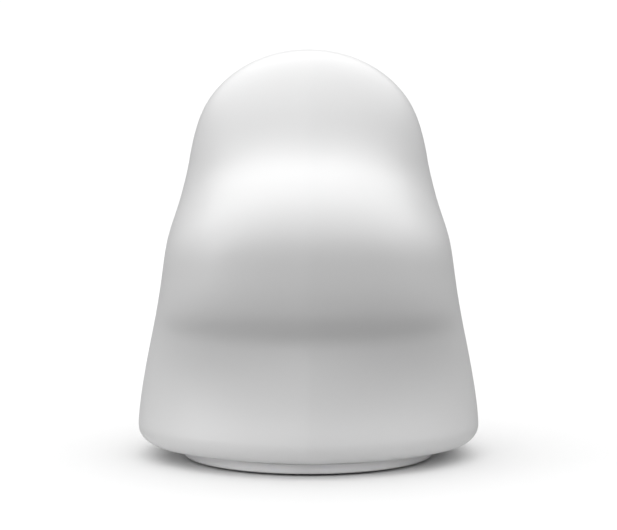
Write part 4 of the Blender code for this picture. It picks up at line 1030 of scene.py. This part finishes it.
for node, radius in (("sync_button", cap_radius + HOLE_GAP), ("reset_plunger", PINHOLE_RADIUS)):
    wide = radius + HOLE_CHAMFER
    hole = turned([(0, 0), (radius, 0), (radius, floor_depth - HOLE_CHAMFER), (wide, floor_depth),
                   (wide, CUT_TO - HOLE_START), (0, CUT_TO - HOLE_START)], 48)
    openings.append(laid_back(hole, *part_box(node), HOLE_START))
cut(bay, *openings)
eased(bay, 0.00012, 2, 50)
fitted(bay, bay_finish, "node", "bay_white", "port_bay")

# --- Floor, light and camera -------------------------------------------------------------------------------
# A plain white table under a wide soft light from above, seen from straight in front and a little above.

VIEW_DISTANCE = 1.2
VIEW_RISE = math.radians(6.5)
VIEW_WIDTH = 0.2096
VIEW_CENTRE = 0.0655
TABLE_TONE = (0.80, 0.80, 0.80)     # as the camera sees it
NEAR_BOUNCE = (0.72, 0.72, 0.72)    # as it throws light back, close to the object and further out
FAR_BOUNCE = (0.18, 0.18, 0.18)
BOUNCE_FADE = (0.058, 0.085)
STUDIO_LIGHT = 0.02
OVERHEAD_POWER = 4.1
OVERHEAD_SPREAD = math.radians(135)
OVERHEAD_LEAN = math.radians(4)
SOFTBOX_SIZE = 0.5
SOFTBOX_PLACE = Vector((0.9, -0.25, 0.2))
SOFTBOX_TARGET = Vector((0, 0, 0.05))

table_top = bmesh.new()
bmesh.ops.create_grid(table_top, x_segments=1, y_segments=1, size=20)
table = placed("table", as_mesh("table", table_top))
table_paint = Recipe("table_white", (0.9, 0.9, 0.9), 1.0, Specular_IOR_Level=0.0)
from_middle = table_paint.node("ShaderNodeVectorMath", {0: table_paint.place()}, output="Value", operation="LENGTH")
away = table_paint.node("ShaderNodeMapRange", {"Value": from_middle, "From Min": BOUNCE_FADE[0],
                                               "From Max": BOUNCE_FADE[1]})
bounce = table_paint.blend(away, NEAR_BOUNCE, FAR_BOUNCE)
seen = table_paint.node("ShaderNodeLightPath", output="Is Camera Ray")
shown = table_paint.node("ShaderNodeMix", {"Factor": seen, "A": bounce, "B": (*TABLE_TONE, 1)}, output=2,
                         data_type="RGBA")
table_paint.feed(Base_Color=shown)
table.data.materials.append(table_paint.material)

world = bpy.data.worlds.new("studio")
bpy.context.scene.world = world
world.use_nodes = True
sky = world.node_tree
sky.nodes.clear()
skies = []
for strength in (STUDIO_LIGHT, 1.0):
    background = sky.nodes.new("ShaderNodeBackground")
    background.inputs["Color"].default_value = (1, 1, 1, 1)
    background.inputs["Strength"].default_value = strength
    skies.append(background)
path = sky.nodes.new("ShaderNodeLightPath")
choice = sky.nodes.new("ShaderNodeMixShader")
out = sky.nodes.new("ShaderNodeOutputWorld")
for source, target in ((path.outputs["Is Camera Ray"], choice.inputs[0]), (skies[0].outputs[0], choice.inputs[1]),
                       (skies[1].outputs[0], choice.inputs[2]), (choice.outputs[0], out.inputs["Surface"])):
    sky.links.new(source, target)

overhead = bpy.data.lights.new("overhead", "SUN")
overhead.energy = OVERHEAD_POWER
overhead.angle = OVERHEAD_SPREAD
placed("overhead", overhead).rotation_euler = (OVERHEAD_LEAN, 0, 0)

for side, side_name, side_power in ((-1, "left_softbox", 1.4), (1, "right_softbox", 0.3)):
    softbox = bpy.data.lights.new(side_name, "AREA")
    softbox.shape = "RECTANGLE"
    softbox.size = SOFTBOX_SIZE
    softbox.size_y = SOFTBOX_SIZE
    softbox.energy = side_power
    stand = placed(side_name, softbox)
    stand.location = (side * SOFTBOX_PLACE.x, SOFTBOX_PLACE.y, SOFTBOX_PLACE.z)
    stand.rotation_euler = (SOFTBOX_TARGET - stand.location).to_track_quat("-Z", "Y").to_euler()

camera_data = bpy.data.cameras.new("front_view")
camera_data.lens = camera_data.sensor_width * VIEW_DISTANCE / VIEW_WIDTH
camera = placed("front_view", camera_data)
camera.location = (0, -VIEW_DISTANCE * math.cos(VIEW_RISE), VIEW_CENTRE + VIEW_DISTANCE * math.sin(VIEW_RISE))
camera.rotation_euler = (math.pi / 2 - VIEW_RISE, 0, 0)
bpy.context.scene.camera = camera
bpy.context.scene.view_settings.view_transform = "Standard"
